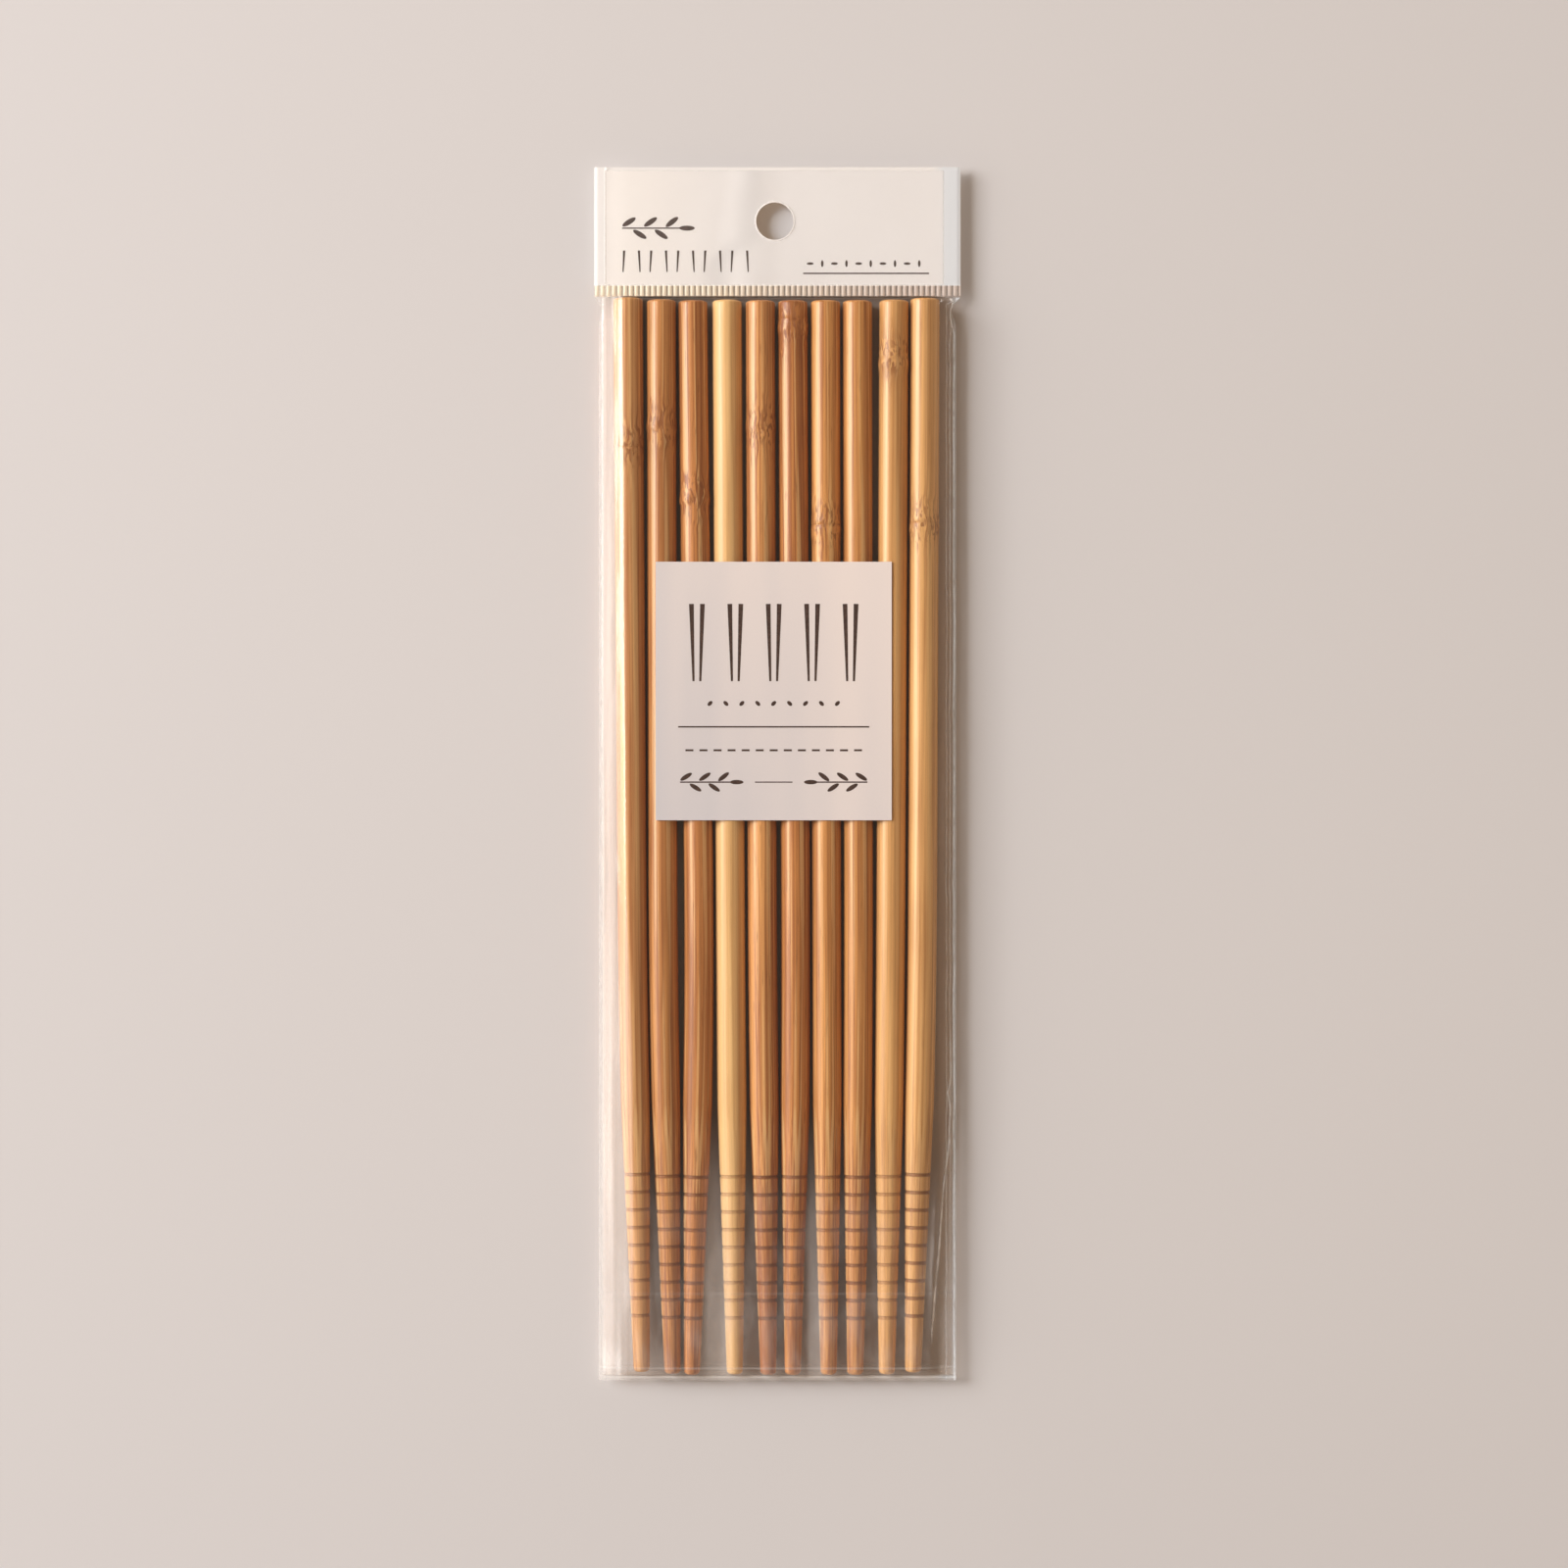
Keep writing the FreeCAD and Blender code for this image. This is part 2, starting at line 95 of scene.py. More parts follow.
# Film, welds, tray and header
FILM = 0.1
CLEARANCE = 0.05
WELD = 2.4
FLAT = WELD + FILM
POUCH_HALF, HEADER_HALF, SIDE_WELD = 38.325, 39.255, 0.8
FOOT = POUCH_HALF - SIDE_WELD
# Past this place the film's columns follow the pack's edge
LOOSE = 36.4
BAND_BOTTOM, BAND_TOP, TOP_EDGE = 102.15, 104.65, 130.05
TIP_WALL, BOTTOM_EDGE = -128.85, -130.05
RIB_PITCH, RIB_HEIGHT = 1.2, 0.15
TRAY_SLOPE, TRAY_TIP_SLOPE, TRAY_HEAD_SLOPE = 2.4, 0.3, 0.1
STRIP_THICKNESS, STRIP_ROOM = 0.15, 0.03
HOLE_X, HOLE_Y, HOLE_RADIUS = -0.58, 118.5, 4.0
# Columns and rows of the two films' grids: four columns to a rib, and close rows at the steep walls
FILM_COLUMNS = [
    -HEADER_HALF, -HEADER_HALF + 0.05,
    *(-HEADER_HALF + (rib + edge) * RIB_PITCH for rib in range(65) for edge in (0.10, 0.34, 0.66, 0.90)),
    HEADER_HALF - 0.05, HEADER_HALF]
FILM_ROWS = [
    BOTTOM_EDGE, -129.5, -129.0, -128.95, -128.93, -128.88, -128.7, -128.2, -127.2, -125.5,
    *(-123.0 + 2.5 * step for step in range(89)), 98.6, 99.4, 100.1, 100.8, 101.4, 101.8, 102.0,
    102.07, 102.12, 102.15, 102.20, 102.35, 103.4, 104.45, 104.55, 104.70, 105.2,
    *(106.2 + 1.5 * step for step in range(16)), 129.4, 129.8, TOP_EDGE]
TRAY_COLUMNS = [-HEADER_HALF, -38.9, -38.5, *(-38.1 + 0.635 * step for step in range(121)), 38.5, 38.9,
                HEADER_HALF]
TRAY_ROWS = [
    BOTTOM_EDGE, -129.5, -128.95, -128.8, -128.65, -128.0, -126.0,
    *(-123.0 + 5.0 * step for step in range(44)), 96.0, 99.0, 100.5, 101.5, 102.0, 102.05, 102.15,
    104.65, 107.0, 111.0, 115.0, 119.0, 123.0, 126.5, 129.0, TOP_EDGE]
# Ridge of the long crease: place along the pack, share of the slope from the stick to the weld, height
RIDGE = [(-76, 0.86, 0.45), (-84, 0.62, 0.6), (-93, 0.45, 0.7), (-104, 0.42, 0.7), (-114, 0.40, 0.6)]
# White fold lines, crease whitening with painted glints: place along the pack, place across it and
# strength, then the line's width
FOLD_GLINTS = [
    ([(-123, 33.0, 0), (-118.8, 33.1, 0.5), (-114.3, 33.5, 0.9), (-108, 34.0, 0.2), (-100.9, 34.7, 0.9),
      (-96.5, 35.0, 0.9), (-90, 35.4, 0.3), (-86.4, 35.8, 0.7), (-78.4, 36.9, 0.9), (-75, 36.95, 0.3),
      (-72.3, 37.05, 0.8), (-68.3, 36.4, 0.6), (-65, 37.2, 0.4), (-50, 37.0, 0)], 0.55),
    ([(-125, 37.0, 0.0), (-60, 37.0, 0.25), (0, 36.95, 0.35), (60, 37.0, 0.45), (92, 36.9, 0.5),
      (97, 37.3, 0.4), (99, 36.9, 0)], 0.40),
    ([(-129.8, 37.95, 0.8), (-112, 37.9, 0.5), (-90, 37.9, 0.7), (-30, 37.8, 0.4), (30, 37.85, 0.55),
      (85, 37.8, 0.75), (94, 37.95, 0.7), (98, 36.95, 0.5), (99.8, 37.2, 0.95), (102.2, 39.1, 0.95)], 0.50),
    ([(100.6, 36.2, 0.3), (101.8, 38.5, 0.9)], 0.45),
    ([(-118, -37.8, 0.2), (-75, -37.8, 0.3), (0, -37.75, 0.45), (70, -37.8, 0.7), (96, -37.75, 0.8),
      (99.5, -37.3, 0.3), (101.5, -37.8, 0)], 0.45),
]
# Area lamps: name, place and size in metres, share of the key light's power, colour
AREA_LAMPS = [
    ("key", (-2.13, 0.66, 1.38), (1.4, 1.3), 1.0, (0.96, 0.97, 1.0)),
    ("low_card", (-1.75, 0.1, 0.36), (2.0, 0.8), 0.18, (1.0, 0.92, 0.84)),
]


def node_box(name):
    """Lowest and highest corner of a CAD node, in millimetres."""
    low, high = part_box(name)
    return [value / MM for value in low], [value / MM for value in high]


LABEL_LOW, LABEL_HIGH = node_box("label")
STRIP_LOW, STRIP_HIGH = node_box("header_strip")


class PackSettings(bpy.types.PropertyGroup):
    """Sizes and colours that a user would change."""
    ring_colour: bpy.props.FloatVectorProperty(
        name="Ring colour", description="Burnt bamboo in the ring grooves", subtype="COLOR",
        default=(0.21, 0.070, 0.022), min=0, max=1)
    strip_colour: bpy.props.FloatVectorProperty(
        name="Header colour", description="White strip in the header", subtype="COLOR",
        default=(0.93, 0.905, 0.885), min=0, max=1)
    label_colour: bpy.props.FloatVectorProperty(
        name="Label colour", description="Paper of the label", subtype="COLOR",
        default=(0.69, 0.66, 0.655), min=0, max=1)
    ink_colour: bpy.props.FloatVectorProperty(
        name="Ink colour", description="Printed shapes", subtype="COLOR",
        default=(0.05, 0.026, 0.018), min=0, max=1)
    floor_colour: bpy.props.FloatVectorProperty(
        name="Floor colour", description="Pale floor", subtype="COLOR",
        default=(0.70, 0.675, 0.665), min=0, max=1)
    film_haze: bpy.props.FloatProperty(
        name="Film haze", description="Share of light that the clear film scatters",
        default=0.002, min=0, max=1)
    ripple: bpy.props.FloatProperty(
        name="Film ripple", description="Height of the film's ripples over the sticks",
        default=0.00006, min=0, max=0.001, unit="LENGTH")
    film_sag: bpy.props.FloatProperty(
        name="Film sag", description="Drop of the film between two sticks",
        default=0.00035, min=0, max=0.001, unit="LENGTH")
    print_thickness: bpy.props.FloatProperty(
        name="Print thickness", description="Thickness of the printed shapes",
        default=0.00002, min=0.000005, max=0.0001, unit="LENGTH")
    key_power: bpy.props.FloatProperty(
        name="Key light", description="Power of the main lamp, in watts",
        default=82.0, min=0, max=500)
    camera_distance: bpy.props.FloatProperty(
        name="Camera distance", description="Camera height over the sticks",
        default=0.9333, min=0.1, max=5, unit="LENGTH")


def settings():
    """The scene's settings."""
    return bpy.context.scene.chopstick_pack


# Modelling


def deselect():
    """Leaves edit mode and clears the selection."""
    if bpy.context.object and bpy.context.object.mode != "OBJECT":
        bpy.ops.object.mode_set(mode="OBJECT")
    bpy.ops.object.select_all(action="DESELECT")


def pick(thing):
    """Makes one object the only selected and active one."""
    deselect()
    thing.select_set(True)
    bpy.context.view_layer.objects.active = thing


def place_in_scene(name, data):
    """New object in the scene from a lamp's, a camera's or a curve's data."""
    thing = bpy.data.objects.new(name, data)
    bpy.context.collection.objects.link(thing)
    return thing


def apply_modifier(thing, kind, **values):
    """Adds a modifier, sets it and applies it."""
    pick(thing)
    modifier = thing.modifiers.new(kind.title(), kind)
    for name, value in values.items():
        setattr(modifier, name, value)
    bpy.ops.object.modifier_apply(modifier=modifier.name)


def join(things, name):
    """One object out of several, with its place in its mesh."""
    pick(things[0])
    for thing in things:
        thing.select_set(True)
    bpy.ops.object.join()
    whole = bpy.context.object
    bpy.ops.object.transform_apply(location=True, rotation=True, scale=True)
    whole.name = whole.data.name = name
    return whole


def finish_piece(piece, material, slot, *nodes):
    """Gives a finished piece its material, its body and the nodes that it stands for. The slot argument is
    not used.
    """
    piece.data.materials.clear()
    piece.data.materials.append(material)
    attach(piece, "root")
    if nodes:
        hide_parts(*nodes)


def finish_node(name, material):
    """Puts a detailed material on a CAD node that stays."""
    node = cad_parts[name]
    node.data.materials.clear()
    node.data.materials.append(material)


def smooth(low, high, value):
    """0 below low, 1 above high, and a soft step between."""
    share = min(max((value - low) / (high - low), 0), 1)
    return share * share * (3 - 2 * share)


# Materials


class Tree:
    """Short forms for building a node tree."""

    def __init__(self, tree):
        self.tree = tree

    def feed(self, socket, value):
        """Links a socket to another node, or sets it. A colour gets full alpha."""
        if isinstance(value, bpy.types.NodeSocket):
            self.tree.links.new(value, socket)
        elif socket.type == "RGBA":
            socket.default_value = (*value[:3], 1.0)
        else:
            socket.default_value = value

    def add(self, kind, inputs=(), **options):
        """New node, with its options set and its inputs fed by number or name."""
        node = self.tree.nodes.new(kind)
        for name, value in options.items():
            setattr(node, name, value)
        for key, value in dict(inputs).items():
            self.feed(node.inputs[key], value)
        return node

    def math(self, operation, *values):
        return self.add("ShaderNodeMath", enumerate(values), operation=operation).outputs[0]

    def plus(self, first, second):
        return self.math("ADD", first, second)

    def minus(self, first, second):
        return self.math("SUBTRACT", first, second)

    def times(self, value, *factors):
        for factor in factors:
            value = self.math("MULTIPLY", value, factor)
        return value

    def scaled(self, value, factor, base):
        """Value times factor, plus base."""
        return self.math("MULTIPLY_ADD", value, factor, base)

    def apart(self, first, second):
        """How far two values lie apart."""
        return self.math("ABSOLUTE", self.minus(first, second))

    def span(self, value, low, high, bottom=0.0, top=1.0, kind="SMOOTHSTEP"):
        """Value taken from low..high to bottom..top and held outside, with a soft or linear step."""
        ends = enumerate((value, low, high, bottom, top))
        return self.add("ShaderNodeMapRange", ends, interpolation_type=kind).outputs[0]

    def fade(self, value, low, high):
        """1 below low, 0 above high, and a soft step between."""
        return self.span(value, low, high, 1.0, 0.0)

    def between(self, value, low, high):
        """1 between low and high, and 0 outside."""
        rise = self.span(value, low - 0.1, low + 0.1)
        return self.times(rise, self.fade(value, high - 0.1, high + 0.1))

    def mix(self, share, first, second):
        """Colour between two colours."""
        return self.add("ShaderNodeMix", {0: share, 6: first, 7: second}, data_type="RGBA").outputs[2]

    def blend(self, share, first, second):
        """Shader between two shaders."""
        return self.add("ShaderNodeMixShader", {0: share, 1: first, 2: second}).outputs[0]

    def stretch(self, vector, scale, offset=(0, 0, 0)):
        inputs = enumerate((vector, scale, offset))
        return self.add("ShaderNodeVectorMath", inputs, operation="MULTIPLY_ADD").outputs[0]

    def noise(self, vector, scale, detail=2.0, offset=(0, 0, 0), roughness=0.5):
        """Noise of a vector, which is stretched and moved first where the scale has three numbers."""
        if isinstance(scale, tuple):
            vector, scale = self.stretch(vector, scale, offset), 1.0
        return self.add("ShaderNodeTexNoise", {"Vector": vector, "Scale": scale, "Detail": detail,
                                               "Roughness": roughness}).outputs["Fac"]

    def bump(self, height, strength, distance):
        return self.add("ShaderNodeBump", {"Strength": strength, "Distance": distance,
                                           "Height": height}).outputs[0]

    def parts(self, vector):
        return self.add("ShaderNodeSeparateXYZ", {0: vector}).outputs

    def own_place(self):
        """Object coordinates, and their three parts in millimetres."""
        place = self.add("ShaderNodeTexCoord").outputs["Object"]
        return (place, *self.parts(self.stretch(place, (1 / MM,) * 3)))

    def shadow_ray(self):
        """1 for light on its way to a lamp, and 0 for what the camera or a mirror sees."""
        return self.add("ShaderNodeLightPath").outputs["Is Shadow Ray"]

    def principled(self, **inputs):
        """Principled shader. In a socket's name _ stands for a space."""
        inputs = {name.replace("_", " "): value for name, value in inputs.items()}
        return self.add("ShaderNodeBsdfPrincipled", inputs).outputs[0]

    def surface(self, shader):
        self.add("ShaderNodeOutputMaterial", {"Surface": shader})


def new_material(name):
    """Empty node material and its tree."""
    material = bpy.data.materials.new(name)
    material.use_nodes = True
    material.node_tree.nodes.clear()
    return material, Tree(material.node_tree)


def toned(values, gains, top=1.0):
    """Colour whose channels are multiplied by their gains and held under top."""
    return [min(value * gain, top) for value, gain in zip(values, gains)]


def bamboo_group(ring_colour):
    """Node group: colour, roughness and normal of turned bamboo, from the stick's own coordinates."""
    group = bpy.data.node_groups.new("Bamboo", "ShaderNodeTree")
    vector, number, hue = "NodeSocketVector", "NodeSocketFloat", "NodeSocketColor"
    for name, kind in (("Place", vector), ("Lit tone", hue), ("Deep tone", hue), ("Streaks", number),
                       ("Flecks", number), ("Rings", number), ("Tip shade", number),
                       ("Node place", number), ("Node strength", number), ("Seed", vector)):
        group.interface.new_socket(name, in_out="INPUT", socket_type=kind)
    for name, kind in (("Colour", hue), ("Roughness", number), ("Normal", vector)):
        group.interface.new_socket(name, in_out="OUTPUT", socket_type=kind)
    tree = Tree(group)
    given = tree.add("NodeGroupInput").outputs
    place, seed, streaks, flecks = (given[name] for name in ("Place", "Seed", "Streaks", "Flecks"))
    along = tree.times(tree.parts(place)[0], 1 / MM)
    from_node = tree.minus(along, given["Node place"])

    # Close to a growth node the fibres wander to the sides
    near = tree.times(tree.fade(tree.math("ABSOLUTE", from_node), 0.0, 10.0), given["Node strength"])
    sway = tree.minus(tree.noise(place, (190, 330, 330), 1.0, seed), 0.5)
    sway = tree.times(sway, near, 2.2 * MM)
    aside = tree.add("ShaderNodeCombineXYZ", {1: sway, 2: tree.times(sway, -1.0)}).outputs[0]
    bent = tree.stretch(place, (1, 1, 1), aside)

    # Fibres run along the stick: wide tone bands, narrow bands, fine lines, pale lines and dark flecks
    wide = tree.noise(bent, (6, 640, 640), 1.0, seed)
    narrow = tree.noise(bent, (11, 1700, 1700), 2.0, seed)
    fine = tree.noise(bent, (30, 3300, 3300), 2.0, seed, 0.6)
    pale = tree.noise(bent, (9, 1250, 1250), 1.0, (31.0, 7.0, 13.0))
    dashes = tree.noise(bent, (150, 2700, 2700), 1.0, seed)
    cloud = tree.noise(place, (32, 90, 90), 2.0, seed)
    deep = tree.times(tree.span(narrow, 0.48, 0.55), 0.46)
    deep = tree.scaled(tree.span(wide, 0.46, 0.54), 0.34, deep)
    deep = tree.times(tree.scaled(tree.span(fine, 0.48, 0.58), 0.36, deep), streaks)
    deep = tree.scaled(tree.span(cloud, 0.35, 0.70), 0.16, deep)
    deep = tree.scaled(tree.span(along, 165.0, 205.0), given["Tip shade"], deep)
    deep = tree.math("MINIMUM", tree.math("MAXIMUM", deep, 0.0), 1.0)
    tone = tree.mix(deep, given["Lit tone"], given["Deep tone"])
    glow = tree.times(tree.span(pale, 0.57, 0.66), streaks, 0.60)
    tone = tree.mix(glow, tone, (0.93, 0.62, 0.28))
    fleck = tree.times(tree.span(dashes, 0.63, 0.72), flecks, 0.55)
    tone = tree.mix(fleck, tone, (0.22, 0.075, 0.022))

    # Growth node: a faint line, short dark dashes round it, and dark fibres that fray from it
    wobble = tree.scaled(tree.noise(place, (5, 500, 500), 2.0, seed), 2.0, -1.0)
    offset = tree.math("ABSOLUTE", tree.plus(from_node, wobble))
    line = tree.times(tree.fade(offset, 0.1, 0.7), 0.20)
    spots = tree.span(tree.noise(bent, (520, 1900, 1900), 1.0, seed), 0.55, 0.62)
    spots = tree.times(spots, tree.fade(offset, 1.8, 6.5), 0.72)
    fray = tree.times(tree.fade(offset, 1.0, 11.0), tree.span(narrow, 0.50, 0.60), 0.42)
    mark = tree.math("MAXIMUM", tree.math("MAXIMUM", spots, fray), line)
    mark = tree.times(mark, given["Node strength"])
    tone = tree.mix(mark, tone, (0.27, 0.090, 0.028))

    # Burnt ring grooves, counted from the tip
    start = LENGTH - RING_FROM_TIP + RING_PITCH / 2
    steps = tree.math("DIVIDE", tree.minus(start, along), RING_PITCH)
    half = RING_WIDTH / 2 / RING_PITCH
    ring = tree.fade(tree.apart(tree.math("FRACT", steps), 0.5), half * 0.90, half * 2.00)
    on_tip = tree.times(tree.math("GREATER_THAN", steps, 0.0),
                        tree.math("LESS_THAN", steps, float(RINGS)))
    burn = tree.scaled(tree.noise(place, (300, 700, 700), 2.0, seed), 0.5, 0.70)
    tone = tree.mix(tree.times(ring, on_tip, burn, given["Rings"]), tone, ring_colour)

    grain = tree.noise(place, (1500, 2600, 2600), 1.0, seed)
    height = tree.scaled(fine, 0.45, tree.times(narrow, 0.45))
    height = tree.scaled(grain, tree.times(flecks, 0.50), height)
    height = tree.minus(height, tree.times(mark, 0.8))
    tree.add("NodeGroupOutput", {"Colour": tone, "Roughness": tree.scaled(fine, 0.22, 0.28),
                                 "Normal": tree.bump(height, 0.70, 0.00008)})
    return group


def bamboo_material(number, group):
    """Bamboo of one stick."""
    lit, deep, streaks, flecks, rings, tip_shade = TONES[number]
    node_place = STICKS[number][3]
    material, tree = new_material(f"bamboo_{number + 1:02d}")
    place = tree.add("ShaderNodeAttribute", attribute_name="stick_place").outputs["Vector"]
    own = tree.add("ShaderNodeGroup", node_tree=group)
    for name, value in (("Place", place), ("Lit tone", lit), ("Deep tone", deep), ("Streaks", streaks),
                        ("Flecks", flecks), ("Rings", rings), ("Tip shade", tip_shade),
                        ("Node place", node_place), ("Node strength", 1.0 if node_place else 0.0),
                        ("Seed", (number * 3.7, number * 11.3, number * 5.9))):
        tree.feed(own.inputs[name], value)
    look = own.outputs
    tree.surface(tree.principled(
        Base_Color=look["Colour"], Roughness=look["Roughness"], Normal=look["Normal"],
        Specular_IOR_Level=0.40, Coat_Weight=0.08, Coat_Roughness=0.22))
    return material


def fold_line(tree, x, y, points, width):
    """Mask of a fine fold line through points of y, x and strength."""
    low, high = points[0][0], points[-1][0]
    left, right = min(point[1] for point in points), max(point[1] for point in points)
    reach = max(right - left, 0.01)
    ramp = tree.add("ShaderNodeValToRGB", {0: tree.span(y, low, high, kind="LINEAR")})
    stops = ramp.color_ramp.elements
    while len(stops) < len(points):
        stops.new(0.5)
    for stop, (at, across, strength) in zip(stops, points):
        stop.position = (at - low) / (high - low)
        stop.color = ((across - left) / reach, strength, 0, 1)
    split = tree.add("ShaderNodeSeparateColor", {0: ramp.outputs[0]})
    off = tree.apart(x, tree.scaled(split.outputs[0], reach, left))
    return tree.times(tree.fade(off, width * 0.15, width * 0.5), split.outputs[1])


def header_haze_and_sheen(tree, x, y, header):
    """Milkiness of the header round its strip, with painted highlights along its outer edges and round the
    hole.
    """
    on_strip = tree.times(tree.between(x, STRIP_LOW[0], STRIP_HIGH[0]),
                          tree.between(y, STRIP_LOW[1], STRIP_HIGH[1]))
    margin = tree.minus(header, tree.times(header, on_strip))
    margin = tree.times(margin, tree.span(x, -20.0, 20.0, 0.90, 0.66))
    # Painted highlight: a white line along the header's outer edges
    rim = tree.times(header, tree.span(tree.math("ABSOLUTE", x), 38.85, 39.05))
    # Painted highlight: a white ring round the hole's edge
    squares = [tree.math("POWER", tree.minus(*pair), 2.0) for pair in ((x, HOLE_X), (y, HOLE_Y))]
    from_hole = tree.math("SQRT", tree.plus(*squares))
    hole_ring_highlight = tree.fade(tree.minus(from_hole, HOLE_RADIUS), 0.15, 0.35)
    haze_and_sheen = tree.times(header, 0.03)
    for mask, share in ((margin, 1.0), (rim, 0.30), (hole_ring_highlight, 0.75)):
        haze_and_sheen = tree.scaled(mask, share, haze_and_sheen)
    return haze_and_sheen


def band_haze_and_sheen(tree, x, y):
    """Milkiness of the weld band: upright ribs, made a little whiter at the left by painted light."""
    phase = tree.math("FRACT", tree.math("DIVIDE", tree.plus(x, HEADER_HALF), RIB_PITCH))
    rib = tree.fade(tree.apart(phase, 0.5), 0.26, 0.40)
    rib = tree.times(rib, tree.span(y, BAND_BOTTOM + 0.1, BAND_BOTTOM + 0.5))
    # Painted light: the ribs are whiter towards the left
    return tree.times(tree.scaled(rib, 0.64, 0.10), tree.span(x, -36.0, 10.0, 1.2, 1.0))


def pouch_haze_and_sheen(tree, place, x, y, haze):
    """Milkiness of the pouch: welds, a painted streaky highlight on the left slope, haze with painted
    reflection patches by the tips, painted glare, and fold lines with painted glints.
    """
    haze_and_sheen = tree.scaled(tree.noise(place, 60.0), 0.003, haze)
    side_weld, tip_weld = tree.span(tree.math("ABSOLUTE", x), 37.4, 37.7), tree.fade(y, -129.1, -128.8)
    haze_and_sheen = tree.scaled(tree.math("MAXIMUM", side_weld, tip_weld), 0.10, haze_and_sheen)

    streak = tree.span(tree.noise(place, (900, 9, 0)), 0.35, 0.70)
    # Painted highlight: soft white streaks on the film's left slope, which faces the lamps
    slope = tree.times(tree.fade(x, -35.5, -32.5), tree.span(y, -128.0, -40.0, 0.45, 1.0))
    haze_and_sheen = tree.scaled(slope, tree.scaled(streak, 0.08, 0.01), haze_and_sheen)

    # Haze of the slack film over the gaps between the tips, with two paler patches, partly painted
    # reflection that lightens the shaded gaps
    smoke_and_sheen = tree.span(tree.noise(place, (260, 90, 0), 3.0), 0.40, 0.72)
    slack_haze_and_sheen = 0.028
    for middle, reach in ((-12.7, 4.0), (8.1, 2.2)):
        slack_haze_and_sheen = tree.scaled(tree.fade(tree.apart(x, middle), reach * 0.4, reach), 0.09, slack_haze_and_sheen)
    haze_and_sheen = tree.scaled(tree.fade(y, -122.0, -70.0), tree.scaled(smoke_and_sheen, 0.055, slack_haze_and_sheen), haze_and_sheen)

    # Glare in the lower left corner
    corner = tree.span(tree.minus(tree.times(x, -0.75), y), 146.5, 155.5)
    corner = tree.times(corner, tree.fade(x, -36.0, -30.0))
    haze_and_sheen = tree.scaled(corner, tree.scaled(streak, 0.18, 0.06), haze_and_sheen)

    # Painted glare over the left side of the first stick
    past = tree.minus(x, tree.span(y, -70.0, 10.0, -31.0, -33.3))
    stick_glare = tree.times(tree.fade(past, -0.2, 0.3), tree.fade(y, 96.0, 99.0), tree.span(y, -129.0, -125.5),
                       tree.span(y, -70.0, -5.0, 0.10, 0.045))
    haze_and_sheen = tree.scaled(stick_glare, tree.scaled(streak, 0.5, 0.8), haze_and_sheen)

    # Level lines of the weld at the tips and of a fold over it; the strong line on the weld's edge is a
    # painted highlight
    for middle, strength in ((-129.4, 0.35), (-127.2, 0.08), (-111.2, 0.03)):
        haze_and_sheen = tree.scaled(tree.fade(tree.apart(y, middle), 0.1, 0.3), strength, haze_and_sheen)

    shaken = tree.plus(x, tree.scaled(tree.noise(place, (60, 110, 0)), 0.6, -0.3))
    broken = tree.span(tree.noise(place, (20, 300, 0)), 0.30, 0.60, 0.35, 1.0)
    # Crease whitening with painted glints along the folds and seams
    for points, width in FOLD_GLINTS:
        haze_and_sheen = tree.scaled(tree.times(fold_line(tree, shaken, y, points, width), broken), 0.75, haze_and_sheen)
    return haze_and_sheen


def film_material(haze):
    """Clear glossy film: milky in the header and at the welds, with painted highlights, glints and glare in
    its milky veil, and bright where it mirrors a lamp.
    """
    material, tree = new_material("bag_film")
    place, x, y, z = tree.own_place()
    above_pouch = tree.span(y, BAND_BOTTOM - 0.1, BAND_BOTTOM + 0.1)
    header = tree.span(y, BAND_TOP - 0.1, BAND_TOP + 0.1)
    band = tree.minus(above_pouch, header)
    haze_and_sheen = tree.scaled(band, band_haze_and_sheen(tree, x, y), header_haze_and_sheen(tree, x, y, header))
    haze_and_sheen = tree.scaled(pouch_haze_and_sheen(tree, place, x, y, haze), tree.minus(1.0, above_pouch), haze_and_sheen)
    # Haze throws light forwards, so its shadow is weaker than it looks
    seen = tree.minus(1.0, tree.shadow_ray())
    haze_and_sheen = tree.times(haze_and_sheen, tree.scaled(seen, 0.5, 0.5))

    # The band's colour is painted light: warm light thrown from the stick heads at the left, greyer at the
    # right. The right margin is cooler than the rest
    warm = tree.mix(tree.span(x, -39.0, 39.0), (1.0, 0.90, 0.72), (0.73, 0.63, 0.56))
    plain = tree.mix(tree.span(x, 33.0, 36.0), (0.96, 0.93, 0.90), (0.86, 0.88, 0.895))
    veil = tree.principled(Base_Color=tree.mix(band, plain, warm), Roughness=0.35)
    # The back film lies in the warm light that the sticks throw
    tint = tree.mix(tree.span(z, 1.8, 2.3), (0.985, 0.955, 0.93), (1.0, 1.0, 1.0))
    clear = tree.add("ShaderNodeBsdfTransparent", {"Color": tint}).outputs[0]

    normal = tree.bump(tree.noise(place, (140, 34, 140)), 0.5, 0.0004)
    gloss = tree.add("ShaderNodeBsdfAnisotropic", {"Color": (0.90, 0.84, 0.77), "Roughness": 0.13,
                                                   "Normal": normal}).outputs[0]
    fresnel = tree.add("ShaderNodeFresnel", {"IOR": 1.5, "Normal": normal}).outputs[0]
    front = tree.minus(1.0, tree.add("ShaderNodeNewGeometry").outputs["Backfacing"])
    dull = tree.times(tree.span(x, -34.5, -31.0, 0.50, 1.0), tree.scaled(seen, 0.4, 0.9))
    tree.surface(tree.blend(tree.times(fresnel, front, dull), tree.blend(haze_and_sheen, clear, veil), gloss))
    return material


